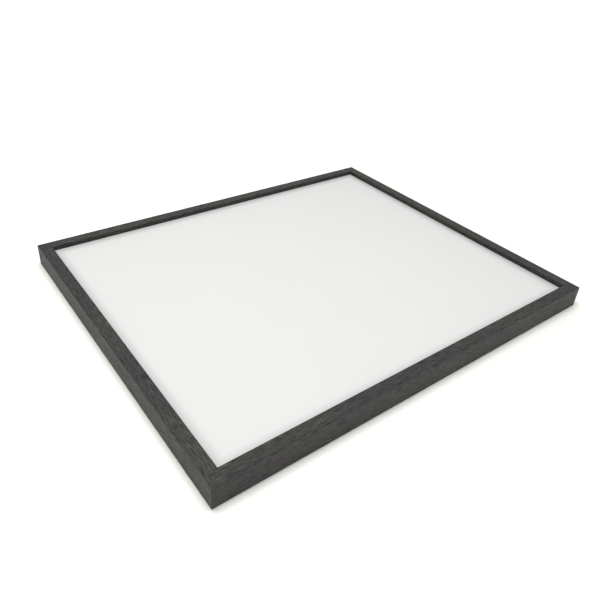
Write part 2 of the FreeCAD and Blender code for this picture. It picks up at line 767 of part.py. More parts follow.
def spacer_places():
    """Centres of the four spacers under the driver board."""
    reach_x = BOARD_X / 2 - SPACER_INSET
    reach_y = BOARD_Y / 2 - SPACER_INSET
    return [(DRIVER_X + a * reach_x, DRIVER_Y + b * reach_y) for a in (-1, 1) for b in (-1, 1)]


def make_board():
    """Circuit board on four spacers, with the screws that go through both into the back panel."""
    board = block(
        (DRIVER_X - BOARD_X / 2, DRIVER_Y - BOARD_Y / 2, Z_BOARD),
        (DRIVER_X + BOARD_X / 2, DRIVER_Y + BOARD_Y / 2, Z_PARTS),
    )
    head_r = 2.2
    head_t = 1.4
    hole_r = SPACER_SCREW_R + HOLE_EASE
    long_screw = pan_screw(head_r, head_t, SPACER_SCREW_R, BOARD_T + SPACER_H + SPACER_SCREW_BITE)
    spacers = []
    screws = []
    for x, y in spacer_places():
        board = board.cut(Part.makeCylinder(hole_r, BOARD_T, Vector(x, y, Z_BOARD)))
        spacer = Part.makeCylinder(SPACER_R, SPACER_H, Vector(x, y, Z_STEP))
        spacers.append(spacer.cut(Part.makeCylinder(hole_r, SPACER_H, Vector(x, y, Z_STEP))))
        screws.append(aim(long_screw, Vector(x, y, Z_PARTS), Vector(0, 0, -1)))
    add("driver_board", board)
    add("driver_spacers", *spacers)
    add("driver_screws", *screws)


def make_board_parts():
    """Inductor, two capacitors and chip in a row on the board's inner half."""
    flange_r = 5.0
    flange_t = 1.2
    core_r = 3.6
    core_h = 4.6
    foot = Vector(DRIVER_X - 5.0, DRIVER_Y - 8.0, Z_PARTS)
    drum = Part.makeCylinder(flange_r, flange_t, foot)
    drum = drum.fuse(Part.makeCylinder(core_r, core_h, foot))
    drum = drum.fuse(Part.makeCylinder(flange_r, flange_t, foot + Vector(0, 0, core_h)))
    add("driver_inductor", drum.removeSplitter())

    can_r = 3.15
    can_h = 7.0
    can_round = 0.5
    cans = []
    for y in (DRIVER_Y + 6.0, DRIVER_Y + 15.0):
        can = Part.makeCylinder(can_r, can_h, Vector(DRIVER_X - 7.0, y, Z_PARTS))
        cans.append(can.makeFillet(can_round, rims_at(can, "ZMin", Z_PARTS + can_h)))
    add("driver_capacitors", *cans)

    chip_x = DRIVER_X - 8.0
    chip_y = DRIVER_Y - 18.0
    half_x = 2.5
    half_y = 2.0
    chip_h = 1.5
    chip = block(
        (chip_x - half_x, chip_y - half_y, Z_PARTS),
        (chip_x + half_x, chip_y + half_y, Z_PARTS + chip_h),
    )
    add("driver_chip", chip)


def make_connectors():
    """Input block along the board's outer edge, and an output block at each end."""
    input_depth = 6.9
    input_half = 19.0
    x_out = DRIVER_X + BOARD_X / 2 - BLOCK_INSET
    inputs = block(
        (x_out - input_depth, DRIVER_Y - input_half, Z_PARTS),
        (x_out, DRIVER_Y + input_half, Z_PARTS + BLOCK_H),
    )
    add("driver_input_block", inputs)

    output_depth = 6.5
    output_span = (DRIVER_X - 3.5, DRIVER_X + 4.5)
    outputs = []
    for sign in (-1, 1):
        y_out = DRIVER_Y + sign * (BOARD_Y / 2 - BLOCK_INSET)
        y_in = y_out - sign * output_depth
        outputs.append(block((output_span[0], y_in, Z_PARTS), (output_span[1], y_out, Z_PARTS + BLOCK_H)))
    add("driver_output_blocks", *outputs)


# ---- internal leads -----------------------------------------------------------------------
LEAD_R = 0.6
THIN_LEAD_R = 0.5
LEAD_BEND = 6.0
JUMPER_BEND = 4.0
THIN_LEAD_BEND = 5.0
PAIR_STEP = 1.3
JACK_LEAD_DROP = 2.5
DIMMER_LEAD_DROP = 3.0
INPUT_PITCH = 4.5
# the first lead of a pair to the LED boards runs along the right rail at this x
CHANNEL_X = 285.0
CLIP_PLACES = (-60.0, -130.0, -200.0)


def keep_leads(name, routes, radius, bend):
    """Make one lead per route, keep them as a node and report the arc radii."""
    solids = []
    for route in routes:
        solid, arcs = wire_lead([Vector(*point) for point in route], radius, bend)
        solids.append(solid)
        print(name, "arc radii", [round(arc, 1) for arc in arcs])
    add(name, *solids)


def make_control_leads():
    """Leads from the jack, the switch and the dimmer to the driver's input block."""
    tag_x = OUTER_X / 2 - TAG_END_U
    dimmer_tag_x = OUTER_X / 2 - DIMMER_TAG_END
    block_x = DRIVER_X + BOARD_X / 2 - BLOCK_INSET
    z_jack = Z_CONTROL - JACK_LEAD_DROP
    z_dimmer = Z_CONTROL - DIMMER_LEAD_DROP
    blade_in, blade_out = BLADE_PLACES
    jack_to_driver = [
        (tag_x, JACK_S, z_jack),
        (274.0, JACK_S, z_jack),
        (262.0, DRIVER_Y - 15.0, LEAD_HOLE_Z),
        (block_x, DRIVER_Y - 15.0, LEAD_HOLE_Z),
    ]
    jack_to_switch = [
        (tag_x, JACK_S, Z_CONTROL),
        (273.0, JACK_S, Z_CONTROL),
        (273.0, blade_in, Z_CONTROL),
        (tag_x, blade_in, Z_CONTROL),
    ]
    switch_to_driver = [
        (tag_x, blade_out, Z_CONTROL),
        (272.0, blade_out, Z_CONTROL),
        (262.0, DRIVER_Y - 3.0, LEAD_HOLE_Z),
        (block_x, DRIVER_Y - 3.0, LEAD_HOLE_Z),
    ]
    dimmer_to_driver = []
    for i in range(3):
        y_tag = DIMMER_S + (i - 1) * DIMMER_TAG_STEP
        y_block = DRIVER_Y + 6.0 + i * INPUT_PITCH
        dimmer_to_driver.append([
            (dimmer_tag_x, y_tag, z_dimmer),
            (276.0, y_tag, z_dimmer),
            (264.0, y_block, LEAD_HOLE_Z),
            (block_x, y_block, LEAD_HOLE_Z),
        ])
    keep_leads("lead_jack_to_driver", [jack_to_driver], LEAD_R, LEAD_BEND)
    keep_leads("lead_jack_to_switch", [jack_to_switch], LEAD_R, JUMPER_BEND)
    keep_leads("lead_switch_to_driver", [switch_to_driver], LEAD_R, LEAD_BEND)
    keep_leads("leads_dimmer_to_driver", dimmer_to_driver, LEAD_R, LEAD_BEND)


def make_led_leads():
    """Pairs to the LED boards: along the back panel, then up through the notch in the bar's shelf."""
    lying = Z_STEP + THIN_LEAD_R
    rise_y = OUTER_Y / 2 - (U_BOARD + 0.6)
    x_end = BOARD_HALF - 1.4
    y_front = DRIVER_Y - BOARD_Y / 2 + BLOCK_INSET
    y_back = DRIVER_Y + BOARD_Y / 2 - BLOCK_INSET
    front = []
    back = []
    for i in range(2):
        x0 = DRIVER_X + i * PAIR_STEP
        x1 = CHANNEL_X + i * PAIR_STEP
        z_end = Z_FILM + 1.6 + i * PAIR_STEP
        y_cross = 218.0 - i * PAIR_STEP
        front.append([
            (x0, y_front, LEAD_HOLE_Z),
            (x0, y_front - 13.0, LEAD_HOLE_Z),
            (x0, y_front - 27.0, lying),
            (x0, y_front - 45.0, lying),
            (x1, -30.0, lying),
            (x1, -rise_y, lying),
            (x1, -rise_y, z_end),
            (x_end, -rise_y, z_end),
        ])
        back.append([
            (x0, y_back, LEAD_HOLE_Z),
            (x0, y_back + 8.0, LEAD_HOLE_Z),
            (x0, y_cross, lying),
            (x1, y_cross, lying),
            (x1, rise_y, lying),
            (x1, rise_y, z_end),
            (x_end, rise_y, z_end),
        ])
    keep_leads("leads_driver_to_led_front", front, THIN_LEAD_R, THIN_LEAD_BEND)
    keep_leads("leads_driver_to_led_back", back, THIN_LEAD_R, THIN_LEAD_BEND)


def make_lead_clips():
    """Bridges glued to the back panel, each with a channel for one pair of leads."""
    half_y = 3.0
    clip_h = 2.0
    channel_h = 1.1
    side_in = 2.2
    side_out = 1.2
    channel_in = CHANNEL_X - THIN_LEAD_R - HOLE_EASE
    channel_out = CHANNEL_X + PAIR_STEP + THIN_LEAD_R + HOLE_EASE
    clips = []
    for y in CLIP_PLACES:
        clip = block(
            (channel_in - side_in, y - half_y, Z_STEP),
            (channel_out + side_out, y + half_y, Z_STEP + clip_h),
        )
        channel = block((channel_in, y - half_y, Z_STEP), (channel_out, y + half_y, Z_STEP + channel_h))
        clips.append(clip.cut(channel))
    add("lead_clips", *clips)


# ---- build and write ----------------------------------------------------------------------
make_case()
make_back()
make_sheets()
make_light_bars()
make_shelf_angles()
make_control_plate()
make_jack()
make_switch()
make_dimmer()
make_board()
make_board_parts()
make_connectors()
make_control_leads()
make_led_leads()
make_lead_clips()

os.makedirs("parts", exist_ok=True)
for name, shape in nodes.items():
    if not shape.isValid():
        print("not valid:", name)
    shape.exportStep("parts/" + name + ".step")
print(len(nodes), "nodes,", sum(len(shape.Solids) for shape in nodes.values()), "solids")
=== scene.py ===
# %% [markdown]
# # A light box in a picture-frame case
# A light box is a flat lamp to draw on: a milky sheet lit from its edges, here in a dark wooden
# picture frame. The design comes from CAD, so every piece is already in its place and at its true
# size, in metres. This file gives each piece its real finish, makes again in more detail the few
# small parts that CAD leaves plain, and sets up a quiet studio. The first step loads the design.
# Nothing added later may reach outside it.

# %% Load the frame
import json
import math

import bpy
import numpy as np
from mathutils import Matrix, Vector


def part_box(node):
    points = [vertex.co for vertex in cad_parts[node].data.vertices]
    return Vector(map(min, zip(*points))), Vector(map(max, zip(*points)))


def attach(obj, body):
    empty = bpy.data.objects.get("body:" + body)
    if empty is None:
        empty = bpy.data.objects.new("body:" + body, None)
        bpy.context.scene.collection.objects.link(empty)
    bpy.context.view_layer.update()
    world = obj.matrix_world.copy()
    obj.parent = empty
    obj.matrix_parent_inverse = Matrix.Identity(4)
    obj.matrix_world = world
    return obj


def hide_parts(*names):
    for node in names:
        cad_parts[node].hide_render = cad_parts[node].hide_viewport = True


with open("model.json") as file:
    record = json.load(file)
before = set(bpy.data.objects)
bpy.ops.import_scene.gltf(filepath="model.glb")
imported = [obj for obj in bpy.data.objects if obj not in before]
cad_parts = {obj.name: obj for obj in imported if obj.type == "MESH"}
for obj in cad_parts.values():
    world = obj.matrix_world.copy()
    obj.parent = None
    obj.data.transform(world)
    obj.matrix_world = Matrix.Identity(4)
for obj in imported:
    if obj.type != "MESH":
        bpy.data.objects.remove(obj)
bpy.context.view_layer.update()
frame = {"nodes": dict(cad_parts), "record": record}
MM = 0.001

# %% [markdown]
# ## Sizes read from the design
# Later cells need a few levels and edges: the outer faces of the rails, the top of the case, the
# middle of the control plate. They could be typed in again, but then a change to the design would
# leave them behind, so they are read from the boxes of the nodes.

# %% Sizes from the nodes
rail_low, rail_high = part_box("rail_front")
HALF_X = rail_high.x
HALF_Y = -rail_low.y
CASE_TOP = rail_high.z
CASE_BOTTOM = rail_low.z
FACE_W = rail_high.y - rail_low.y
plate_low, plate_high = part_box("control_plate")
CONTROL_Z = (plate_low.z + plate_high.z) / 2
print("case, mm:", round(2 * HALF_X / MM), "x", round(2 * HALF_Y / MM), "top at", CASE_TOP / MM)

# %% [markdown]
# ## The camera
# A product shot from above the near left corner, a little closer than a metre. The camera is set
# by where it looks and from which side, which is easier to read than an eye point and three angles.
# Its frame is shifted a little, so the case sits in the middle without tilting the camera.

# %% Camera
CAMERA_AZIMUTH = -129.467
CAMERA_ELEVATION = 31.358
CAMERA_ROLL = 4.271
CAMERA_DISTANCE = 0.93254
CAMERA_TARGET = Vector((0.03925, 0.05345, CASE_BOTTOM))
SENSOR_MM = 36.0
LENS_MM = 35.94
LENS_SHIFT = (-0.00959, -0.0660)
FARTHEST_SEEN = 50.0


def look_from(azimuth, elevation, roll, distance, target):
    """Camera matrix: the eye stands at distance from target, turned round its own line of sight by roll."""
    a, e, r = (math.radians(v) for v in (azimuth, elevation, roll))
    back = Vector((math.cos(e) * math.cos(a), math.cos(e) * math.sin(a), math.sin(e)))
    right = Vector((0, 0, 1)).cross(back).normalized()
    up = back.cross(right)
    tilted_right = right * math.cos(r) + up * math.sin(r)
    tilted_up = up * math.cos(r) - right * math.sin(r)
    axes = Matrix((tilted_right, tilted_up, back)).transposed().to_4x4()
    return Matrix.Translation(target + back * distance) @ axes


camera = bpy.data.objects.new("camera", bpy.data.cameras.new("camera"))
bpy.context.scene.collection.objects.link(camera)
camera.matrix_world = look_from(
    CAMERA_AZIMUTH, CAMERA_ELEVATION, CAMERA_ROLL, CAMERA_DISTANCE, CAMERA_TARGET
)
camera.data.sensor_width = SENSOR_MM
camera.data.lens = LENS_MM
camera.data.shift_x, camera.data.shift_y = LENS_SHIFT
camera.data.clip_end = FARTHEST_SEEN
bpy.context.scene.camera = camera
print("camera at, mm:", [round(v / MM) for v in camera.matrix_world.translation])

# %% [markdown]
# ## Colours and nodes
# Colours are written as sRGB hex values, the way a swatch book gives them, and one function turns
# them to the linear values that a shader works in. One small function adds a node, sets it and
# wires it. Pattern sizes are given in millimetres and turned to the scale that a noise node wants.


# %% Colour and node helpers
def srgb(hex_colour):
    """Linear RGBA from an sRGB hex value such as '#40403E'."""
    parts = [int(hex_colour[i:i + 2], 16) / 255 for i in (1, 3, 5)]
    linear = [c / 12.92 if c <= 0.04045 else ((c + 0.055) / 1.055) ** 2.4 for c in parts]
    return (*linear, 1.0)


def add_node(material, kind, settings=None, links=None):
    """Add a node; settings are attributes or input values, links are inputs fed by other outputs."""
    node = material.node_tree.nodes.new(kind)
    for key, value in (settings or {}).items():
        if isinstance(key, str) and hasattr(node, key):
            setattr(node, key, value)
        else:
            node.inputs[key].default_value = value
    for key, output in (links or {}).items():
        material.node_tree.links.new(output, node.inputs[key])
    return node


def new_material(name, **sockets):
    """A material with one Principled shader, whose uniform values are set on its own sockets."""
    material = bpy.data.materials.new(name)
    material.use_nodes = True
    shader = material.node_tree.nodes["Principled BSDF"]
    for key, value in sockets.items():
        shader.inputs[key.replace("_", " ")].default_value = value
    return material, shader


def feed(material, shader, socket, output):
    """Wire an output into one of the shader's sockets."""
    material.node_tree.links.new(output, shader.inputs[socket])


def per_mm(size_mm):
    """Noise scale whose features are about size_mm apart in Object coordinates."""
    return 1.0 / (size_mm * MM)


print("linear value of #808080:", round(srgb("#808080")[0], 3))

# %% [markdown]
# ## Charcoal stained wood
# The case is a hardwood moulding stained charcoal under a satin lacquer. Stain sinks into the open
# pores and slides off the dense grain, so the eye sees fine dark streaks along each rail, broad soft
# bands, and patches a little warmer or cooler. A picture of wood could be wrapped round each rail,
# but solid noise stretched along the rail runs unbroken from the top over the arris to the side, as
# cut wood does. The rails run two ways, so the finish is made once with the grain along X and once
# along Y. Stain gathers in the hairline of each mitre, where the polisher's pad can't reach. A band
# beside the rounded outer arris and the inner wall above the sheet are painted darker: painted shade.

# %% Mitre stain, and painted shade beside the arris and on the inner wall
# the mitre's hairline fades out over this distance in mm, about three times too wide, so that it shows
MITRE_LINE_MM = 0.5
MITRE_STAIN = 0.55
# share of painted shade at each distance in mm from the outer face: a band beside the arris, then the
# inner wall, whose painted shade starts a little before the edge
WALL_PAINTED_SHADE = 0.28
WALL_FROM_MM = FACE_W / MM - 0.4
PAINTED_SHADE_ACROSS = {0.9: 0.0, 2.15: 0.30, 3.4: 0.0, WALL_FROM_MM - 0.1: 0.0, WALL_FROM_MM: WALL_PAINTED_SHADE}


def depths_inward(material, place):
    """Links to how far a point lies in from the outer faces: (HALF_X, HALF_Y) - |(x, y)|."""
    mirrored = add_node(material, "ShaderNodeVectorMath", {"operation": "ABSOLUTE"}, {0: place})
    inward = add_node(
        material, "ShaderNodeVectorMath", {"operation": "SUBTRACT", 0: (HALF_X, HALF_Y, 0.0)},
        {1: mirrored.outputs[0]},
    )
    depths = add_node(material, "ShaderNodeSeparateXYZ", None, {0: inward.outputs[0]}).outputs
    return {0: depths[0], 1: depths[1]}


def mitre_stain_and_painted_shade(material, place):
    """Mask from 0 to 1: stain in the mitre hairlines, painted shade beside the outer arris and on the inner
    wall.

    On a mitre the depths in from the two outer faces are equal, and everywhere the smaller one says
    how far across its rail a point lies.
    """
    two_depths = depths_inward(material, place)
    difference = add_node(material, "ShaderNodeMath", {"operation": "SUBTRACT"}, two_depths)
    off_mitre = add_node(
        material, "ShaderNodeMath", {"operation": "ABSOLUTE"}, {0: difference.outputs[0]}
    )
    hairline = add_node(
        material, "ShaderNodeMapRange",
        {"From Max": MITRE_LINE_MM * MM, "To Min": MITRE_STAIN, "To Max": 0.0},
        {"Value": off_mitre.outputs[0]},
    )
    across = add_node(material, "ShaderNodeMath", {"operation": "MINIMUM"}, two_depths)
    share = add_node(
        material, "ShaderNodeMapRange", {"From Max": FACE_W}, {"Value": across.outputs[0]}
    )
    # painted shade: a dark band beside the rounded outer arris, and the darker inner wall in the recess
    profile = add_node(material, "ShaderNodeValToRGB", None, {"Fac": share.outputs[0]})
    profile.color_ramp.elements[1].color = (WALL_PAINTED_SHADE, WALL_PAINTED_SHADE, WALL_PAINTED_SHADE, 1.0)
    for distance_mm, painted_shade in PAINTED_SHADE_ACROSS.items():
        stop = profile.color_ramp.elements.new(distance_mm * MM / FACE_W)
        stop.color = (painted_shade, painted_shade, painted_shade, 1.0)
    return add_node(
        material, "ShaderNodeMath", {"operation": "MAXIMUM"},
        {0: hairline.outputs[0], 1: profile.outputs[0]},
    ).outputs[0]


# the inner wall is darkened as painted shade from this depth inward
print("the inner wall's stain starts, mm inward:", round(WALL_FROM_MM, 1))

# %% Marks in the wood
# each mark's size across the grain in mm, how many times longer it is, its detail, and an offset
# that keeps the five patterns apart; streaks and dashes are about twice as coarse as real ones, so
# that they show
GRAIN = {
    "streaks": (0.6, 20, 2, 0.1),
    "bands": (5.0, 16, 2, 0.3),
    "patches": (36.0, 2, 2, 0.7),
    "dashes": (0.6, 18, 1, 0.5),
    "pores": (0.35, 18, 1, 0.9),
}


def wood_marks(material, place, along):
    """Links to the noise of each mark in GRAIN, stretched along X (along is 0) or Y (along is 1)."""
    noise = {}
    for mark, (size_mm, stretch, detail, offset) in GRAIN.items():
        scale = [1.0, 1.0, 1.0]
        scale[along] = 1.0 / stretch
        mapped = add_node(
            material, "ShaderNodeMapping", {"Scale": scale, "Location": (offset, offset, offset)},
            {"Vector": place},
        )
        noise[mark] = add_node(
            material, "ShaderNodeTexNoise",
            {"Scale": per_mm(size_mm), "Detail": detail, "Roughness": 0.6},
            {"Vector": mapped.outputs[0]},
        ).outputs["Fac"]
    return noise


print("marks and their length along the grain, mm:", {m: g[0] * g[1] for m, g in GRAIN.items()})

# %% Stained wood
# the noise value where sunk stain begins and where it is full, and the share of stain there
SUNK = {"dashes": (0.57, 0.66, 0.55), "pores": (0.60, 0.66, 0.80)}
BAND_SHARE = 0.1
WOOD_TONES = ((0.40, "#0F0F0E"), (0.60, "#494846"))
WOOD_RELIEF_MM = 0.15


def stained_wood(name, along):
    """Satin stained wood; along is 0 for grain along X and 1 for grain along Y.

    Streaks, bands and patches give the tone. On them lie stained dashes, and open pores that only a
    close view shows; both are darker, duller and a little sunk.
    """
    material, shader = new_material(name, Specular_IOR_Level=0.34)
    place = add_node(material, "ShaderNodeTexCoord").outputs["Object"]
    noise = wood_marks(material, place, along)
    mixed = add_node(
        material, "ShaderNodeMix", {"Factor": BAND_SHARE}, {"A": noise["streaks"], "B": noise["bands"]}
    ).outputs[0]
    tone = add_node(material, "ShaderNodeValToRGB", None, {"Fac": mixed})
    for stop, (position, colour) in zip(tone.color_ramp.elements, WOOD_TONES):
        stop.position = position
        stop.color = srgb(colour)
    patch_share = add_node(
        material, "ShaderNodeMapRange", {"From Min": 0.4, "From Max": 0.6},
        {"Value": noise["patches"]},
    )
    patch = add_node(
        material, "ShaderNodeMix",
        {"data_type": "RGBA", "A": srgb("#FFFFF0"), "B": srgb("#F0EBF4")},
        {"Factor": patch_share.outputs[0]},
    )
    tinted = add_node(
        material, "ShaderNodeMix", {"data_type": "RGBA", "blend_type": "MULTIPLY", "Factor": 1.0},
        {"A": tone.outputs[0], "B": patch.outputs[2]},
    )
    masks = [
        add_node(
            material, "ShaderNodeMapRange", {"From Min": begins, "From Max": full, "To Max": share},
            {"Value": noise[mark]},
        ).outputs[0]
        for mark, (begins, full, share) in SUNK.items()
    ]
    sunk = add_node(
        material, "ShaderNodeMath", {"operation": "MAXIMUM"}, {0: masks[0], 1: masks[1]}
    ).outputs[0]
    # real stain in pores, dashes and mitres, together with painted shade beside the arris and on the inner
    # wall
    stain_and_painted_shade = add_node(
        material, "ShaderNodeMath", {"operation": "MAXIMUM"},
        {0: sunk, 1: mitre_stain_and_painted_shade(material, place)},
    ).outputs[0]
    # darker where stain sinks or gathers, and where shade is painted beside the arris and on the inner wall
    stained = add_node(
        material, "ShaderNodeMix", {"data_type": "RGBA", "B": srgb("#0E0E0E")},
        {"A": tinted.outputs[2], "Factor": stain_and_painted_shade},
    )
    feed(material, shader, "Base Color", stained.outputs[2])
    sheen = add_node(
        material, "ShaderNodeMapRange", {"To Min": 0.56, "To Max": 0.85}, {"Value": sunk}
    )
    feed(material, shader, "Roughness", sheen.outputs[0])
    height = add_node(
        material, "ShaderNodeMath", {"operation": "SUBTRACT"}, {0: mixed, 1: sunk}
    ).outputs[0]
    bump = add_node(
        material, "ShaderNodeBump", {"Strength": 0.35, "Distance": WOOD_RELIEF_MM * MM},
        {"Height": height},
    )
    feed(material, shader, "Normal", bump.outputs[0])
    return material


wood_x = stained_wood("charcoal_stained_wood_x", 0)
wood_y = stained_wood("charcoal_stained_wood_y", 1)
print("materials:", wood_x.name, wood_y.name)

# %% [markdown]
# ## Opal acrylic
# The lit face is 3 mm cast acrylic, milky all through, so that it hides the sheets behind it. Its
# surface is satin, so reflections are soft. Real milkiness is light that scatters below the surface,
# but on a flat white sheet it can't be told from a plain white one, so a pale diffuse colour with a
# faint cloudiness is enough, and renders clean. Beside the lip the last 14 mm of the sheet are
# painted darker: painted shade, where the rails' inner walls shade the sheet.

# %% Opal acrylic
# painted shade: the sheet darkens over this reach in mm in from the lip, by this share at the lip
PAINTED_SHADE_REACH_MM = 14.0
PAINTED_SHADE_AT_LIP = 0.24
opal, opal_shader = new_material("opal_cast_acrylic", IOR=1.49)
opal_place = add_node(opal, "ShaderNodeTexCoord").outputs["Object"]
cloud = add_node(
    opal, "ShaderNodeTexNoise", {"Scale": per_mm(60), "Detail": 2}, {"Vector": opal_place}
)
milk = add_node(
    opal, "ShaderNodeMix", {"data_type": "RGBA", "A": srgb("#D0D0CF"), "B": srgb("#D2D2D1")},
    {"Factor": cloud.outputs["Fac"]},
)
from_face = add_node(
    opal, "ShaderNodeMath", {"operation": "MINIMUM"}, depths_inward(opal, opal_place)
)
# painted shade beside the rails' inner walls, as a share of darkening
lip_painted_shade = add_node(
    opal, "ShaderNodeMapRange",
    {
        "From Min": FACE_W, "From Max": FACE_W + PAINTED_SHADE_REACH_MM * MM,
        "To Min": PAINTED_SHADE_AT_LIP, "To Max": 0.0,
    },
    {"Value": from_face.outputs[0]},
)
milk_with_painted_shade = add_node(
    opal, "ShaderNodeMix", {"data_type": "RGBA", "B": srgb("#000000")},
    {"A": milk.outputs[2], "Factor": lip_painted_shade.outputs[0]},
)
feed(opal, opal_shader, "Base Color", milk_with_painted_shade.outputs[2])
handling = add_node(
    opal, "ShaderNodeMapRange", {"To Min": 0.42, "To Max": 0.50}, {"Value": cloud.outputs["Fac"]}
)
feed(opal, opal_shader, "Roughness", handling.outputs[0])
print("material:", opal.name)

# %% [markdown]
# ## A finish in two tones
# Most of the small parts have a finish that looks plain from afar, and isn't: moulded plastic is
# faintly mottled, rolled metal has lines, rubber has a bloom. Each wanders between two close tones
# over a size that belongs to its making, and its gloss and its relief follow the same marks. One
# function makes that, and the cells below give it each material's own tones, size and direction.


# %% Two-tone finish
def two_tone(name, tones, size_mm, stretch=(1, 1, 1), roughness=(0.4, 0.5), relief_mm=0.01, **sockets):
    """A finish that wanders between two tones over size_mm, longer by stretch along X, Y and Z.

    The roughness runs between its two values, and the relief is relief_mm high, along the same noise.
    """
    material, shader = new_material(name, **sockets)
    place = add_node(material, "ShaderNodeTexCoord").outputs["Object"]
    mapped = add_node(
        material, "ShaderNodeMapping", {"Scale": [1 / s for s in stretch]}, {"Vector": place}
    )
    marks = add_node(
        material, "ShaderNodeTexNoise",
        {"Scale": per_mm(size_mm), "Detail": 4, "Roughness": 0.6}, {"Vector": mapped.outputs[0]},
    ).outputs["Fac"]
    share = add_node(
        material, "ShaderNodeMapRange", {"From Min": 0.3, "From Max": 0.7}, {"Value": marks}
    ).outputs[0]
    tone = add_node(
        material, "ShaderNodeMix", {"data_type": "RGBA", "A": srgb(tones[0]), "B": srgb(tones[1])},
        {"Factor": share},
    )
    feed(material, shader, "Base Color", tone.outputs[2])
    gloss = add_node(
        material, "ShaderNodeMapRange", {"To Min": roughness[0], "To Max": roughness[1]},
        {"Value": share},
    )
    feed(material, shader, "Roughness", gloss.outputs[0])
    bump = add_node(
        material, "ShaderNodeBump", {"Strength": 0.6, "Distance": relief_mm * MM}, {"Height": marks}
    )
    feed(material, shader, "Normal", bump.outputs[0])
    return material


print("noise scale for marks 1 mm apart:", per_mm(1.0))

# %% [markdown]
# ## Plastics and rubber
# The feet are black rubber, matt with a grey bloom. The switch body is moulded nylon, dull from
# its glass filler; the rocker is polished ABS, so it has the one sharp highlight on the control
# plate; the knob is ABS from a spark-eroded mould, which leaves an even fine grain of about half a
# millimetre. Inside, the clips and spacers are natural nylon, a milky off-white, and the terminal
# blocks are green PBT, evenly dull. Leads are PVC, smooth and a little waxy. The white of the marks
# is matt printing ink.

# %% Plastics and rubber
foot_rubber = two_tone(
    "moulded_rubber", ("#1A1A1A", "#262524"), 0.9, roughness=(0.78, 0.9), relief_mm=0.03
)
black_nylon = two_tone(
    "glass_filled_nylon", ("#161617", "#202021"), 0.7, roughness=(0.48, 0.6), relief_mm=0.02
)
rocker_abs = two_tone(
    "polished_abs", ("#121213", "#17171A"), 6.0, roughness=(0.16, 0.22), relief_mm=0.005
)
knob_abs = two_tone(
    "spark_eroded_abs", ("#1A1A1B", "#242426"), 0.5, roughness=(0.5, 0.62), relief_mm=0.04
)
white_nylon = two_tone(
    "natural_nylon", ("#DAD8CF", "#E6E4DC"), 1.5, roughness=(0.4, 0.5), relief_mm=0.01
)
block_pbt = two_tone(
    "moulded_pbt", ("#1E5A34", "#276B40"), 0.8, roughness=(0.42, 0.52), relief_mm=0.02
)
mark_ink = two_tone(
    "white_pad_print_ink", ("#D2D1CC", "#E2E1DC"), 0.3, roughness=(0.5, 0.6), relief_mm=0.01
)
lead_pvc = {
    colour: two_tone("pvc_insulation_" + colour, tones, 3.0, roughness=(0.36, 0.46), relief_mm=0.01)
    for colour, tones in {
        "black": ("#141414", "#1C1C1C"),
        "red": ("#8E1512", "#A11C18"),
        "white": ("#D4D3CE", "#E0DFDA"),
    }.items()
}
print("leads:", [insulation.name for insulation in lead_pvc.values()])

# %% [markdown]
# ## Metals
# Metals differ in colour, gloss, and the direction of their marks. The control plate is aluminium
# brushed lengthwise and anodised black, so its lines run along Y. The bars inside are extruded, and
# their die lines run along the bar. Nickel and zinc are plated on turned or headed parts, and have
# soft spots but no lines. The screws that show are blackened steel, dark with a soft shine, and the
# dimmer's shaft is turned, so its lines run round it. Brushing is far finer than shows from here,
# so it is drawn about three times too coarse.

# %% Metals
BRUSH_MM = 0.3
plate_anodised = two_tone(
    "black_anodised_brushed_aluminium", ("#202023", "#343438"), BRUSH_MM, (1, 70, 1),
    roughness=(0.34, 0.5), relief_mm=0.01, Metallic=0.85,
)
nickel = two_tone(
    "nickel_plated_brass", ("#B9B4AA", "#CDC8BE"), 1.4, roughness=(0.2, 0.3), relief_mm=0.01,
    Metallic=1.0,
)
zinc_steel = two_tone(
    "zinc_plated_steel", ("#A4A8AD", "#C3C6C9"), 1.0, roughness=(0.3, 0.44), relief_mm=0.01,
    Metallic=1.0,
)
black_steel = two_tone(
    "black_oxide_steel", ("#1B1B1C", "#2C2C2E"), 0.8, roughness=(0.36, 0.5), relief_mm=0.01,
    Metallic=0.8,
)
bar_aluminium = [
    two_tone(
        "extruded_aluminium_" + axis, ("#B4B5B6", "#CACBCC"), 0.8, stretch,
        roughness=(0.32, 0.46), relief_mm=0.02, Metallic=1.0,
    )
    for axis, stretch in (("x", (120, 1, 1)), ("y", (1, 120, 1)))
]
shaft_aluminium = two_tone(
    "turned_aluminium", ("#BCBDBE", "#D0D1D2"), 0.4, (1, 6, 6), roughness=(0.26, 0.36),
    relief_mm=0.01, Metallic=1.0,
)
print("bars:", [finish.name for finish in bar_aluminium])

# %% [markdown]
# ## Back panel and battens
# The case is closed from below with 3 mm hardboard: wood fibres pressed with oil into a dense brown
# sheet, smooth and slightly shiny on its good face. The eye sees matted fibres of a few
# millimetres, darker specks, and a soft unevenness over a hand's width. The battens inside are sawn
# pine, pale, with darker growth lines along their length.

# %% Hardboard
FIBRE_TONES = ((0.36, "#4A3020"), (0.62, "#7D5A3C"))


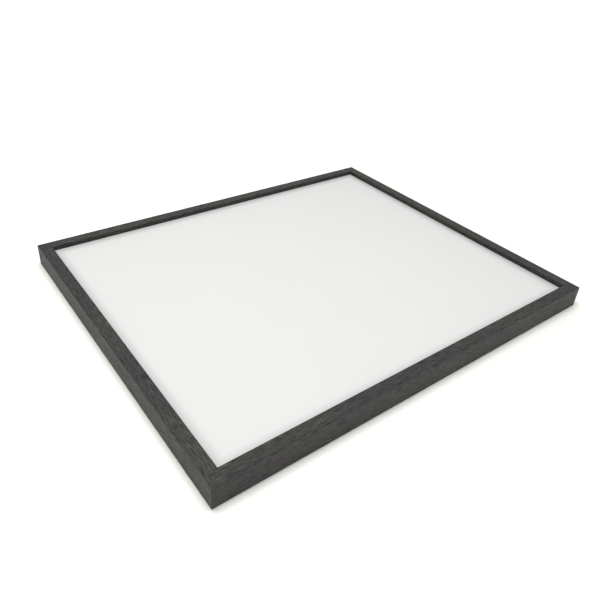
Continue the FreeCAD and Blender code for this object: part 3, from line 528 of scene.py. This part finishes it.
def hardboard():
    """Pressed brown fibre sheet: fibres of 2.5 mm lying any way, dark specks, 90 mm unevenness."""
    material, shader = new_material("tempered_hardboard")
    place = add_node(material, "ShaderNodeTexCoord").outputs["Object"]
    fibres = add_node(
        material, "ShaderNodeTexNoise",
        {"Scale": per_mm(2.5), "Detail": 5, "Roughness": 0.7, "Distortion": 2.5}, {"Vector": place},
    ).outputs["Fac"]
    uneven = add_node(
        material, "ShaderNodeTexNoise", {"Scale": per_mm(90), "Detail": 2}, {"Vector": place}
    ).outputs["Fac"]
    mixed = add_node(
        material, "ShaderNodeMix", {"Factor": 0.22}, {"A": fibres, "B": uneven}
    ).outputs[0]
    tone = add_node(material, "ShaderNodeValToRGB", None, {"Fac": mixed})
    for stop, (position, colour) in zip(tone.color_ramp.elements, FIBRE_TONES):
        stop.position = position
        stop.color = srgb(colour)
    specks = add_node(
        material, "ShaderNodeTexNoise", {"Scale": per_mm(1.4), "Detail": 1}, {"Vector": place}
    ).outputs["Fac"]
    speck_mask = add_node(
        material, "ShaderNodeMapRange",
        {"From Min": 0.66, "From Max": 0.72, "To Min": 0.0, "To Max": 0.6}, {"Value": specks},
    ).outputs[0]
    flecked = add_node(
        material, "ShaderNodeMix", {"data_type": "RGBA", "B": srgb("#2E1D12")},
        {"A": tone.outputs[0], "Factor": speck_mask},
    )
    feed(material, shader, "Base Color", flecked.outputs[2])
    gloss = add_node(
        material, "ShaderNodeMapRange", {"To Min": 0.42, "To Max": 0.6}, {"Value": mixed}
    )
    feed(material, shader, "Roughness", gloss.outputs[0])
    bump = add_node(
        material, "ShaderNodeBump", {"Strength": 0.4, "Distance": 0.05 * MM}, {"Height": fibres}
    )
    feed(material, shader, "Normal", bump.outputs[0])
    return material


back_hardboard = hardboard()
print("material:", back_hardboard.name)

# %% Sawn pine
GROWTH_MM = 7.54
# at scale 1 the waves of a wave texture are this far apart
WAVE_PERIOD = 2 * math.pi / 20


def sawn_pine():
    """Pale softwood with wavering growth lines along Y, GROWTH_MM apart, and a saw's fuzz."""
    material, shader = new_material("sawn_pine", Roughness=0.7)
    place = add_node(material, "ShaderNodeTexCoord").outputs["Object"]
    along = add_node(material, "ShaderNodeMapping", {"Scale": (1, 0.04, 1)}, {"Vector": place})
    rings = add_node(
        material, "ShaderNodeTexWave",
        {
            "Scale": per_mm(GROWTH_MM) * WAVE_PERIOD, "Distortion": 3.0, "Detail": 2.0,
            "bands_direction": "X",
        },
        {"Vector": along.outputs[0]},
    ).outputs["Fac"]
    tone = add_node(
        material, "ShaderNodeMix",
        {"data_type": "RGBA", "A": srgb("#DDB884"), "B": srgb("#B98C54")}, {"Factor": rings},
    )
    feed(material, shader, "Base Color", tone.outputs[2])
    fuzz = add_node(
        material, "ShaderNodeTexNoise", {"Scale": per_mm(0.8), "Detail": 3}, {"Vector": place}
    ).outputs["Fac"]
    bump = add_node(
        material, "ShaderNodeBump", {"Strength": 0.5, "Distance": 0.1 * MM}, {"Height": fuzz}
    )
    feed(material, shader, "Normal", bump.outputs[0])
    return material


batten_pine = sawn_pine()
print("material:", batten_pine.name)

# %% [markdown]
# ## Sheets that carry the light
# Under the opal sheet lie a clear acrylic plate, which spreads the light from its edges, and a white
# film that sends it back up. The clear plate has a grid of white printed dots on its back: each
# breaks the light out of the plate. The dots could be thousands of small discs, but they have no
# thickness, so a cell pattern in the material is truer and lighter.


# %% Clear light guide and white film
def dotted_acrylic():
    """Clear cast acrylic with white dots 1 mm across on a 2.5 mm grid."""
    material, shader = new_material("clear_acrylic_with_dots", IOR=1.49, Roughness=0.04)
    place = add_node(material, "ShaderNodeTexCoord").outputs["Object"]
    cells = add_node(
        material, "ShaderNodeTexVoronoi",
        {"voronoi_dimensions": "2D", "Scale": per_mm(2.5), "Randomness": 0.0}, {"Vector": place},
    ).outputs["Distance"]
    dots = add_node(
        material, "ShaderNodeMapRange",
        {"From Min": 0.18, "From Max": 0.22, "To Min": 1.0, "To Max": 0.0}, {"Value": cells},
    ).outputs[0]
    tone = add_node(
        material, "ShaderNodeMix",
        {"data_type": "RGBA", "A": srgb("#EAF1EF"), "B": srgb("#F4F4F2")}, {"Factor": dots},
    )
    feed(material, shader, "Base Color", tone.outputs[2])
    clear = add_node(
        material, "ShaderNodeMath", {"operation": "SUBTRACT", 0: 1.0}, {1: dots}
    ).outputs[0]
    feed(material, shader, "Transmission Weight", clear)
    return material


guide_acrylic = dotted_acrylic()
white_film = two_tone(
    "white_polyester_film", ("#EAEAE9", "#F1F1F0"), 8.0, roughness=(0.3, 0.4), relief_mm=0.01
)
print("materials:", guide_acrylic.name, white_film.name)

# %% [markdown]
# ## Electronics
# A circuit board is glass fibre under solder mask: green on the driver, white on the LED strips,
# with copper tracks that show as slightly lighter, raised lines. Each LED is a white box with a
# yellow window of phosphor, and since the LEDs stand at an even pitch, the window can be found from
# the place along the bar alone. A capacitor is an aluminium can in a dark sleeve, bare on its top,
# and the inductor's core is sintered ferrite, dull and slate grey.

# %% Circuit boards
TRACK_PITCH_MM = 3.0
# at scale 1 a brick texture has this many rows to a unit
ROWS_PER_UNIT = 4


def solder_mask(name, mask, track):
    """Solder mask over copper tracks in rows TRACK_PITCH_MM apart, seen as lighter lines."""
    material, shader = new_material(name, Roughness=0.36)
    place = add_node(material, "ShaderNodeTexCoord").outputs["Object"]
    tracks = add_node(
        material, "ShaderNodeTexBrick",
        {
            "Scale": per_mm(TRACK_PITCH_MM) / ROWS_PER_UNIT, "Mortar Size": 0.03,
            "Mortar Smooth": 0.3, "Color1": srgb(mask), "Color2": srgb(mask), "Mortar": srgb(track),
        },
        {"Vector": place},
    )
    feed(material, shader, "Base Color", tracks.outputs["Color"])
    bump = add_node(
        material, "ShaderNodeBump", {"Strength": 0.5, "Distance": 0.04 * MM},
        {"Height": tracks.outputs["Fac"]},
    )
    feed(material, shader, "Normal", bump.outputs[0])
    return material


green_board = solder_mask("green_solder_mask", "#0F4A26", "#1D6B3A")
white_board = solder_mask("white_solder_mask", "#E2E2DC", "#EEEEE8")
print("boards:", green_board.name, white_board.name)

# %% LEDs and capacitors
chip_low, chip_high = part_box("led_chips_front")
LED_Z = (chip_low.z + chip_high.z) / 2
LED_PITCH = 10 * MM
WINDOW_HALF = (1.25 * MM, 0.95 * MM)


def led_package():
    """White LED body with a yellow window, 2.5 x 1.9 mm, at the middle of each LED along X."""
    material, shader = new_material("led_phosphor_in_white_body", Roughness=0.35)
    place = add_node(material, "ShaderNodeTexCoord").outputs["Object"]
    axes = add_node(material, "ShaderNodeSeparateXYZ", None, {0: place}).outputs
    # the LEDs stand half a pitch from the middle, where a ping-pong over half a pitch peaks
    swing = add_node(
        material, "ShaderNodeMath", {"operation": "PINGPONG", 1: LED_PITCH / 2}, {0: axes[0]}
    ).outputs[0]
    wide = add_node(
        material, "ShaderNodeMath",
        {"operation": "GREATER_THAN", 1: LED_PITCH / 2 - WINDOW_HALF[0]}, {0: swing},
    ).outputs[0]
    high = add_node(
        material, "ShaderNodeMath",
        {"operation": "COMPARE", 1: LED_Z, 2: WINDOW_HALF[1]}, {0: axes[2]},
    ).outputs[0]
    window = add_node(
        material, "ShaderNodeMath", {"operation": "MULTIPLY"}, {0: wide, 1: high}
    ).outputs[0]
    tone = add_node(
        material, "ShaderNodeMix",
        {"data_type": "RGBA", "A": srgb("#E8E7E0"), "B": srgb("#DDBB3C")}, {"Factor": window},
    )
    feed(material, shader, "Base Color", tone.outputs[2])
    return material


CAN_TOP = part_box("driver_capacitors")[1].z
BARE_END = 0.6 * MM


def sleeved_can():
    """Aluminium can: a dark sleeve up to BARE_END below the top, bare metal above it."""
    material, shader = new_material("sleeved_aluminium_can", Roughness=0.35)
    place = add_node(material, "ShaderNodeTexCoord").outputs["Object"]
    axes = add_node(material, "ShaderNodeSeparateXYZ", None, {0: place}).outputs
    bare = add_node(
        material, "ShaderNodeMath", {"operation": "GREATER_THAN", 1: CAN_TOP - BARE_END},
        {0: axes[2]},
    ).outputs[0]
    tone = add_node(
        material, "ShaderNodeMix",
        {"data_type": "RGBA", "A": srgb("#1B2230"), "B": srgb("#C4C6C8")}, {"Factor": bare},
    )
    feed(material, shader, "Base Color", tone.outputs[2])
    feed(material, shader, "Metallic", bare)
    return material


led_chips = led_package()
capacitor_can = sleeved_can()
ferrite = two_tone(
    "sintered_ferrite", ("#2A2A2C", "#3A3A3C"), 0.4, roughness=(0.55, 0.7), relief_mm=0.03
)
print("LED middle height, mm:", round(LED_Z / MM, 2))

# %% [markdown]
# ## Each node gets its finish
# The design names a material slot for every node, so a finish can be given by slot, and no node can
# be forgotten. Two slots need a choice: the stained wood and the extruded bars have marks that run
# along the piece, and for those the node's box says which way it runs.

# %% Finishes by slot
FINISH = {
    "stained_wood": (wood_x, wood_y),
    "mill_aluminium": tuple(bar_aluminium),
    "opal_acrylic": opal,
    "clear_acrylic": guide_acrylic,
    "white_film": white_film,
    "plain_wood": batten_pine,
    "hardboard": back_hardboard,
    "shaft_aluminium": shaft_aluminium,
    "can_aluminium": capacitor_can,
    "white_board": white_board,
    "green_board": green_board,
    "led_phosphor": led_chips,
    "zinc_steel": zinc_steel,
    "black_steel": black_steel,
    "foot_rubber": foot_rubber,
    "black_anodised": plate_anodised,
    "nickel_brass": nickel,
    "black_nylon": black_nylon,
    "black_gloss": rocker_abs,
    "black_knob": knob_abs,
    "white_paint": mark_ink,
    "white_nylon": white_nylon,
    "ferrite": ferrite,
    "block_plastic": block_pbt,
    "lead_black": lead_pvc["black"],
    "lead_red": lead_pvc["red"],
    "lead_white": lead_pvc["white"],
}

for part in frame["record"]["subparts"]:
    finish = FINISH[part["material_slot"]]
    if isinstance(finish, tuple):
        low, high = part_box(part["node"])
        finish = finish[0] if high.x - low.x > high.y - low.y else finish[1]
    mesh = frame["nodes"][part["node"]].data
    mesh.materials.clear()
    mesh.materials.append(finish)

# %% [markdown]
# ## Surfaces from closed loops
# The pieces made here in more detail are all of one kind: a row of closed loops, each a little
# further along, with the surface stretched between them. A turned foot is circles that grow and
# shrink, a knob is circles with flutes. They could be made with a screw or an array modifier, but
# computing the points as one array says the shape in a formula, and closes seam and poles exactly.


# %% Skin over loops
def skin(rings, closed_path=False):
    """Points, faces and volume of a surface through closed loops, given as (loops, points, 3).

    Neighbouring loops are joined by quads. The first and last loop are closed by a fan to their own
    centre, or joined to each other when the path closes. Faces are turned so that the signed volume,
    a sixth of the sum of a . (b x c) over the triangles, is positive: then they point outwards.
    """
    loops, count, _ = rings.shape
    here = np.arange(loops * count).reshape(loops, count)
    if closed_path:
        here = np.vstack([here, here[:1]])
    ahead = np.roll(here, -1, axis=1)
    quads = np.stack([here[:-1], ahead[:-1], ahead[1:], here[1:]], axis=-1).reshape(-1, 4)
    points = rings.reshape(-1, 3)
    fans = np.empty((0, 3), int)
    if not closed_path:
        start, end = len(points), len(points) + 1
        first = np.stack([np.full(count, start), ahead[0], here[0]], axis=-1)
        last = np.stack([np.full(count, end), here[-1], ahead[-1]], axis=-1)
        points = np.vstack([points, rings[0].mean(0), rings[-1].mean(0)])
        fans = np.vstack([first, last])
    triangles = np.vstack([quads[:, [0, 1, 2]], quads[:, [0, 2, 3]], fans])
    a, b, c = (points[triangles[:, i]] for i in range(3))
    volume = (a * np.cross(b, c)).sum() / 6
    if volume < 0:
        quads, fans = quads[:, ::-1], fans[:, ::-1]
    return points, quads.tolist() + fans.tolist(), abs(volume)


SHARP_ANGLE = math.radians(35)


def make_piece(name, skins, finish, body, stands_for=()):
    """One object from one or several skins, smooth but for sharp edges, riding on a body."""
    points, faces, volume, start = [], [], 0.0, 0
    for skin_points, skin_faces, skin_volume in skins:
        points.append(skin_points)
        faces += [[start + corner for corner in face] for face in skin_faces]
        volume += skin_volume
        start += len(skin_points)
    mesh = bpy.data.meshes.new(name)
    mesh.from_pydata(np.vstack(points).tolist(), [], faces)
    mesh.shade_smooth()
    mesh.set_sharp_from_angle(angle=SHARP_ANGLE)
    mesh.materials.append(finish)
    piece = bpy.data.objects.new(name, mesh)
    bpy.context.scene.collection.objects.link(piece)
    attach(piece, body)
    if stands_for:
        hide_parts(*stands_for)
    print(name, "points:", start, "volume, mm3:", round(volume / MM ** 3, 3))


def rounded_path(corners, radii, steps=5):
    """Open path through the corners, each rounded by an arc of its own radius, in steps points.

    An arc touches both sides of its corner at radius / tan(half the corner's angle).
    """
    corners = np.asarray(corners, float)
    path = [corners[:1]]
    for before, corner, after, radius in zip(corners, corners[1:], corners[2:], radii):
        u = (before - corner) / np.linalg.norm(before - corner)
        v = (after - corner) / np.linalg.norm(after - corner)
        half = np.arccos(np.clip(u @ v, -1, 1)) / 2
        middle = corner + (u + v) / np.linalg.norm(u + v) * radius / np.sin(half)
        start = corner + u * radius / np.tan(half) - middle
        end = corner + v * radius / np.tan(half) - middle
        turn = np.linspace(0, 1, steps)[:, None]
        arc = start * (1 - turn) + end * turn
        arc *= radius / np.linalg.norm(arc, axis=1, keepdims=True)
        path.append(middle + arc)
    path.append(corners[-1:])
    return np.vstack(path)


unit_square = np.array([(0, 0), (1, 0), (1, 1), (0, 1)], float)
unit_cube = np.stack([np.column_stack([unit_square, np.full(4, z)]) for z in (0.0, 1.0)])
print("volume of a unit cube made by skin:", skin(unit_cube)[2])

# %% [markdown]
# ## Rubber feet
# Four turned rubber feet stand one millimetre proud. CAD has them as plain cones; a real moulded
# foot has a rounded rim where it meets the table and a small sunk ring round the fixing, which shows
# when the case is turned over.

# %% Feet
# the loops start and end this near the axis, and a fan closes what is left
AXIS_R = 0.3
FOOT_HEIGHT = 1.0
FLARE_HEIGHT = 0.7
FOOT_RIM_R = 6.0
FOOT_SOLE_R = 5.4
SINK_R = 1.7
SINK_SLOPE = 0.4
SINK_DEPTH = 0.45
FOOT_POINTS = 56
# (radius, height) in mm, from the middle of the sole out to the rim and up to the case, then the
# radius of each rounding; the edge against the case stays sharp
foot_profile = rounded_path(
    [(AXIS_R, SINK_DEPTH), (SINK_R, SINK_DEPTH), (SINK_R + SINK_SLOPE, 0.0), (FOOT_SOLE_R, 0.0),
     (FOOT_RIM_R, FLARE_HEIGHT), (FOOT_RIM_R, FOOT_HEIGHT), (AXIS_R, FOOT_HEIGHT)],
    [0.15, 0.15, 0.3, 0.2, 0.0001],
)


def turned_foot(centre):
    """Circles of the profile's radius at the profile's height, about a vertical axis."""
    turn = np.linspace(0, 2 * np.pi, FOOT_POINTS, endpoint=False)
    radius, height = foot_profile.T[:, :, None] * MM
    rings = np.stack(
        [centre.x + radius * np.cos(turn), centre.y + radius * np.sin(turn), height + 0 * turn],
        axis=-1,
    )
    return skin(rings)


for side in ("front_left", "front_right", "back_left", "back_right"):
    low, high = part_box("foot_" + side)
    foot_centre = (low + high) / 2
    make_piece(
        "moulded_foot_" + side, [turned_foot(foot_centre)], foot_rubber, "case",
        ["foot_" + side],
    )

# %% [markdown]
# ## Dimmer knob
# The knob is what the fingers find, so it has flutes for grip, a rounded front rim, and a face sunk
# a hair below the rim. CAD cuts the flutes as round notches. Here each loop's radius is taken in by a
# smooth wave that fades out at the rim, as it does in a mould that has to let go of the part.

# %% Knob
knob_low, knob_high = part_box("dimmer_knob")
KNOB_CENTRE = (knob_low + knob_high) / 2
KNOB_R = (knob_high.y - knob_low.y) / 2 / MM
KNOB_DEPTH = (knob_high.x - knob_low.x) / MM
HOLLOW_R = 5.4
HOLLOW_DEPTH = 1.9
FACE_R = 5.5
FACE_SLOPE = 0.3
FACE_SINK = 0.16
ARC_POINTS = 7
# (radius, distance from the knob's back) in mm: hollow back, skirt, fluted side, front rim, dish,
# then the radius of each rounding
knob_profile = rounded_path(
    [(AXIS_R, HOLLOW_DEPTH), (HOLLOW_R, HOLLOW_DEPTH), (HOLLOW_R, 0.0), (KNOB_R, 0.0),
     (KNOB_R, KNOB_DEPTH), (FACE_R, KNOB_DEPTH), (FACE_R - FACE_SLOPE, KNOB_DEPTH - FACE_SINK),
     (AXIS_R, KNOB_DEPTH - FACE_SINK)],
    [0.2, 0.1, 0.12, 0.5, 0.15, 0.1],
    steps=ARC_POINTS,
)
print("knob, mm: radius", round(KNOB_R, 2), "depth", round(KNOB_DEPTH, 2))

# %% Flutes of the knob
FLUTES = 24
POINTS_PER_FLUTE = 10
FLUTE_DEPTH_MM = 0.42
# the flutes are gone this far from the front, and fade out over the next millimetre
FLUTE_END_MM = 0.3
# at the back edge they have this share of their depth, and are full this far from it
BACK_SHARE = 1 / 3
FULL_FROM_MM = 0.4
# the hollow back and the face lie inside this radius, and have no flutes
FLUTED_FROM_R = 5.8
# distances from the back where the side has loops of its own, between its two rounded ends
SIDE_LOOPS = np.linspace(0.6, KNOB_DEPTH - 0.9, 8)


def fluted_knob():
    """Loops of the profile; on the side the radius is less by depth * sin(FLUTES / 2 * turn) ** 4.

    The wave has a valley for each flute. Its depth fades towards the front rim and the back edge,
    and is nothing inside the hollow back and on the face.
    """
    turn = np.linspace(0, 2 * np.pi, FLUTES * POINTS_PER_FLUTE, endpoint=False)
    # the profile's third arc ends where the side begins
    side_start = 3 * ARC_POINTS + 1
    side = np.stack([np.full_like(SIDE_LOOPS, KNOB_R), SIDE_LOOPS], axis=-1)
    profile = np.vstack([knob_profile[:side_start], side, knob_profile[side_start:]])
    radius, out = profile.T[:, :, None]
    front_fade = np.clip(KNOB_DEPTH - FLUTE_END_MM - out, 0, 1)
    back_fade = np.clip(BACK_SHARE + (1 - BACK_SHARE) * out / FULL_FROM_MM, 0, 1)
    fade = front_fade * back_fade * (radius > FLUTED_FROM_R)
    wave = np.sin(FLUTES / 2 * turn) ** 4
    radius = (radius - FLUTE_DEPTH_MM * fade * wave) * MM
    rings = np.stack(
        [knob_low.x + out * MM + 0 * turn, KNOB_CENTRE.y + radius * np.cos(turn),
         KNOB_CENTRE.z + radius * np.sin(turn)],
        axis=-1,
    )
    return skin(rings)


make_piece("fluted_knob", [fluted_knob()], knob_abs, "dimmer", ["dimmer_knob"])

# %% [markdown]
# ## Printed marks
# The dimmer has a row of dots that grow with the light, and the rocker has the usual line and ring
# for on and off. They are pad-printed white ink, a few hundredths of a millimetre thick. They could
# be painted in the material, but real thin pads of ink catch the light at their edges and stay
# crisp in a close view. Each pad is a stack of three loops: foot, shoulder, and a slightly smaller
# top.

# %% Ink pads
INK_MM = 0.05
# a pad's foot stands a hair inside the surface, so that no gap shows under it
INK_FOOT_MM = -0.02
SHOULDER_SHARE = 0.6
TOP_SHRINK = 0.93
RING_POINTS = 40


def ink_pad(outline, place):
    """A thin pad over a closed outline of (a, b) points in mm; place turns (a, b, height) to metres."""
    middle = outline.mean(0)
    shrink = np.array([1.0, 1.0, TOP_SHRINK])[:, None, None]
    loops = middle + (outline - middle) * shrink
    height = np.array([INK_FOOT_MM, SHOULDER_SHARE * INK_MM, INK_MM])[:, None] + np.zeros(len(outline))
    return skin(place(loops[..., 0], loops[..., 1], height))


def ellipse(half_a, half_b, power=1.0):
    """Closed outline with half axes half_a and half_b; a power under 1 squares it off."""
    turn = np.linspace(0, 2 * np.pi, RING_POINTS, endpoint=False)
    c, s = np.cos(turn), np.sin(turn)
    return np.stack(
        [half_a * np.sign(c) * np.abs(c) ** power, half_b * np.sign(s) * np.abs(s) ** power], axis=-1
    )


def ink_ring(middle_a, radius, half_width, place):
    """A closed ring: a flat four-sided section carried round a circle."""
    turn = np.linspace(0, 2 * np.pi, RING_POINTS, endpoint=False)[:, None]
    across = radius + half_width * np.array([-1.0, 1.0, 0.8, -0.8])
    height = np.array([INK_FOOT_MM, INK_FOOT_MM, INK_MM, INK_MM]) + 0 * turn
    return skin(
        place(middle_a + across * np.cos(turn), across * np.sin(turn), height), closed_path=True
    )


print("ink thickness, mm:", INK_MM)

# %% Scale of the dimmer
# in mm and degrees: the dots stand on a ring, as far as the knob turns each way, and grow
SCALE_R = 7.05
SCALE_DOTS = 11
SCALE_SWEEP = 150.0
DOT_R = (0.12, 0.3)


def on_plate(a, b, height):
    """Place on the control plate: a along Y from the knob's middle, b up, height outwards."""
    return np.stack(
        [plate_high.x + height * MM, KNOB_CENTRE.y + a * MM, KNOB_CENTRE.z + b * MM], axis=-1
    )


dots = []
for angle, dot_r in zip(
    np.radians(np.linspace(-SCALE_SWEEP, SCALE_SWEEP, SCALE_DOTS)), np.linspace(*DOT_R, SCALE_DOTS)
):
    middle = SCALE_R * np.array([np.sin(angle), np.cos(angle)])
    dots.append(ink_pad(middle + ellipse(dot_r, dot_r), on_plate))
make_piece("dimmer_scale", dots, mark_ink, "case")

# %% [markdown]
# ## On and off
# The rocker's face is a shallow V that stands tilted at rest, so its marks need the plane of each
# half. The V is worked out from the rocker's own sizes: its tips stand 5.48 mm from the pivot along
# the rail and 2.9 mm out, its dip 2.2 mm out, and at rest it leans 10 degrees.

# %% Marks on the rocker
ROCKER_LEAN = math.radians(-10)
ROCKER_TIP = (5.48, 2.9)
ROCKER_DIP = 2.2
# in mm: how far out along each half a mark lies, then the sizes of the line and of the ring
MARK_OUT = 3.1
LINE_HALF = (0.22, 1.3)
LINE_SQUARENESS = 0.5
RING_R = 1.05
RING_HALF_WIDTH = 0.18
PIVOT = Vector((HALF_X, (plate_low.y + plate_high.y) / 2, CONTROL_Z))


def on_rocker(half):
    """Placing function for one half of the V: a outwards from the dip along the face, b up."""
    run = np.array([half * ROCKER_TIP[0], ROCKER_TIP[1] - ROCKER_DIP])
    run = run / np.linalg.norm(run)
    normal = np.array([-run[1], run[0]]) * half

    def place(a, b, height):
        along = run[0] * a + normal[0] * height
        out = ROCKER_DIP + run[1] * a + normal[1] * height
        c, s = math.cos(ROCKER_LEAN), math.sin(ROCKER_LEAN)
        turned_along = c * along + s * out
        turned_out = c * out - s * along
        return np.stack(
            [PIVOT.x + turned_out * MM, PIVOT.y + turned_along * MM, PIVOT.z + b * MM], axis=-1
        )

    return place


line = ink_pad(ellipse(*LINE_HALF, LINE_SQUARENESS) + (MARK_OUT, 0.0), on_rocker(1))
ring = ink_ring(MARK_OUT, RING_R, RING_HALF_WIDTH, on_rocker(-1))
make_piece("rocker_marks", [line, ring], mark_ink, "rocker")

# %% [markdown]
# ## The floor
# The case lies on a white sweep. It is lit a little past white, so the paper burns out evenly and
# only the soft contact shadow is left of it. Far from the case the paper glows by itself, as if it
# had lamps of its own, so no horizon shows. Under the case the paper has an opening, and from below
# it is see-through, so a view from underneath shows the back panel in plain light.

# %% Floor
FLOOR_HALF = 8.0
OPENING_INSET = 5 * MM
# the paper's own glow starts at this distance from the middle, in metres, and is full at that one
GLOW_FROM, GLOW_FULL = 0.5, 2.0
GLOW_STRENGTH = 0.7


def sweep_material():
    """Matt white paper, see-through from below, that glows more with distance from the case."""
    material, shader = new_material(
        "white_sweep_paper", Base_Color=srgb("#F9F8F3"), Roughness=0.9, Emission_Color=srgb("#FFFFFF")
    )
    place = add_node(material, "ShaderNodeTexCoord").outputs["Object"]
    distance = add_node(
        material, "ShaderNodeVectorMath", {"operation": "LENGTH"}, {0: place}
    ).outputs["Value"]
    glow = add_node(
        material, "ShaderNodeMapRange",
        {"From Min": GLOW_FROM, "From Max": GLOW_FULL, "To Max": GLOW_STRENGTH},
        {"Value": distance},
    )
    feed(material, shader, "Emission Strength", glow.outputs[0])
    below = add_node(material, "ShaderNodeNewGeometry").outputs["Backfacing"]
    clear = add_node(material, "ShaderNodeBsdfTransparent")
    either = add_node(material, "ShaderNodeMixShader", None, {0: below})
    material.node_tree.links.new(shader.outputs[0], either.inputs[1])
    material.node_tree.links.new(clear.outputs[0], either.inputs[2])
    output = material.node_tree.nodes["Material Output"]
    material.node_tree.links.new(either.outputs[0], output.inputs[0])
    return material


signs = np.array([(-1, -1), (1, -1), (1, 1), (-1, 1)])
opening = signs * (HALF_X - OPENING_INSET, HALF_Y - OPENING_INSET)
floor_points = np.vstack([signs * FLOOR_HALF, opening])
floor_points = np.column_stack([floor_points, np.zeros(len(floor_points))])
floor_faces = [(i, (i + 1) % 4, 4 + (i + 1) % 4, 4 + i) for i in range(4)]
floor_mesh = bpy.data.meshes.new("floor")
floor_mesh.from_pydata(floor_points.tolist(), [], floor_faces)
floor_mesh.materials.append(sweep_material())
floor = bpy.data.objects.new("floor", floor_mesh)
bpy.context.scene.collection.objects.link(floor)
print("floor faces:", len(floor_faces), "normal up:", floor_mesh.polygons[0].normal.z > 0)

# %% [markdown]
# ## The light
# Most of the light is an even white room. One soft box hangs overhead, over the left half of the
# sheet and a little in front of its middle. It makes the sheet brightest there, and leaves a soft
# contact shadow on the paper along the case. What the camera sees past the paper is plain white.
# Below the floor the room is dimmer, which only views from underneath can see.

# %% Light
ROOM_ABOVE = 0.73
ROOM_BELOW = 0.6
# the room turns from one to the other within this much of the horizon
HORIZON = 0.02
KEY_PLACE = Vector((-0.26, -0.08, 1.5))
KEY_SIZE = 0.6
KEY_WATTS = 15.0
world = bpy.data.worlds.new("studio")
world.use_nodes = True
bpy.context.scene.world = world
background = world.node_tree.nodes["Background"]
direction = add_node(world, "ShaderNodeTexCoord").outputs["Generated"]
world_axes = add_node(world, "ShaderNodeSeparateXYZ", None, {0: direction}).outputs
room = add_node(
    world, "ShaderNodeMapRange",
    {"From Min": -HORIZON, "From Max": HORIZON, "To Min": ROOM_BELOW, "To Max": ROOM_ABOVE},
    {"Value": world_axes[2]},
)
seen = add_node(world, "ShaderNodeLightPath").outputs["Is Camera Ray"]
strength = add_node(
    world, "ShaderNodeMath", {"operation": "MAXIMUM"}, {0: room.outputs[0], 1: seen}
)
world.node_tree.links.new(strength.outputs[0], background.inputs["Strength"])
background.inputs["Color"].default_value = srgb("#FFFFFF")

# an area light shines down its own -Z, so it needs no turning
key = bpy.data.objects.new("key", bpy.data.lights.new("key", "AREA"))
bpy.context.scene.collection.objects.link(key)
key.data.size = KEY_SIZE
key.data.energy = KEY_WATTS
key.location = KEY_PLACE
bpy.context.scene.view_settings.view_transform = "Standard"
print("key, watts:", key.data.energy)
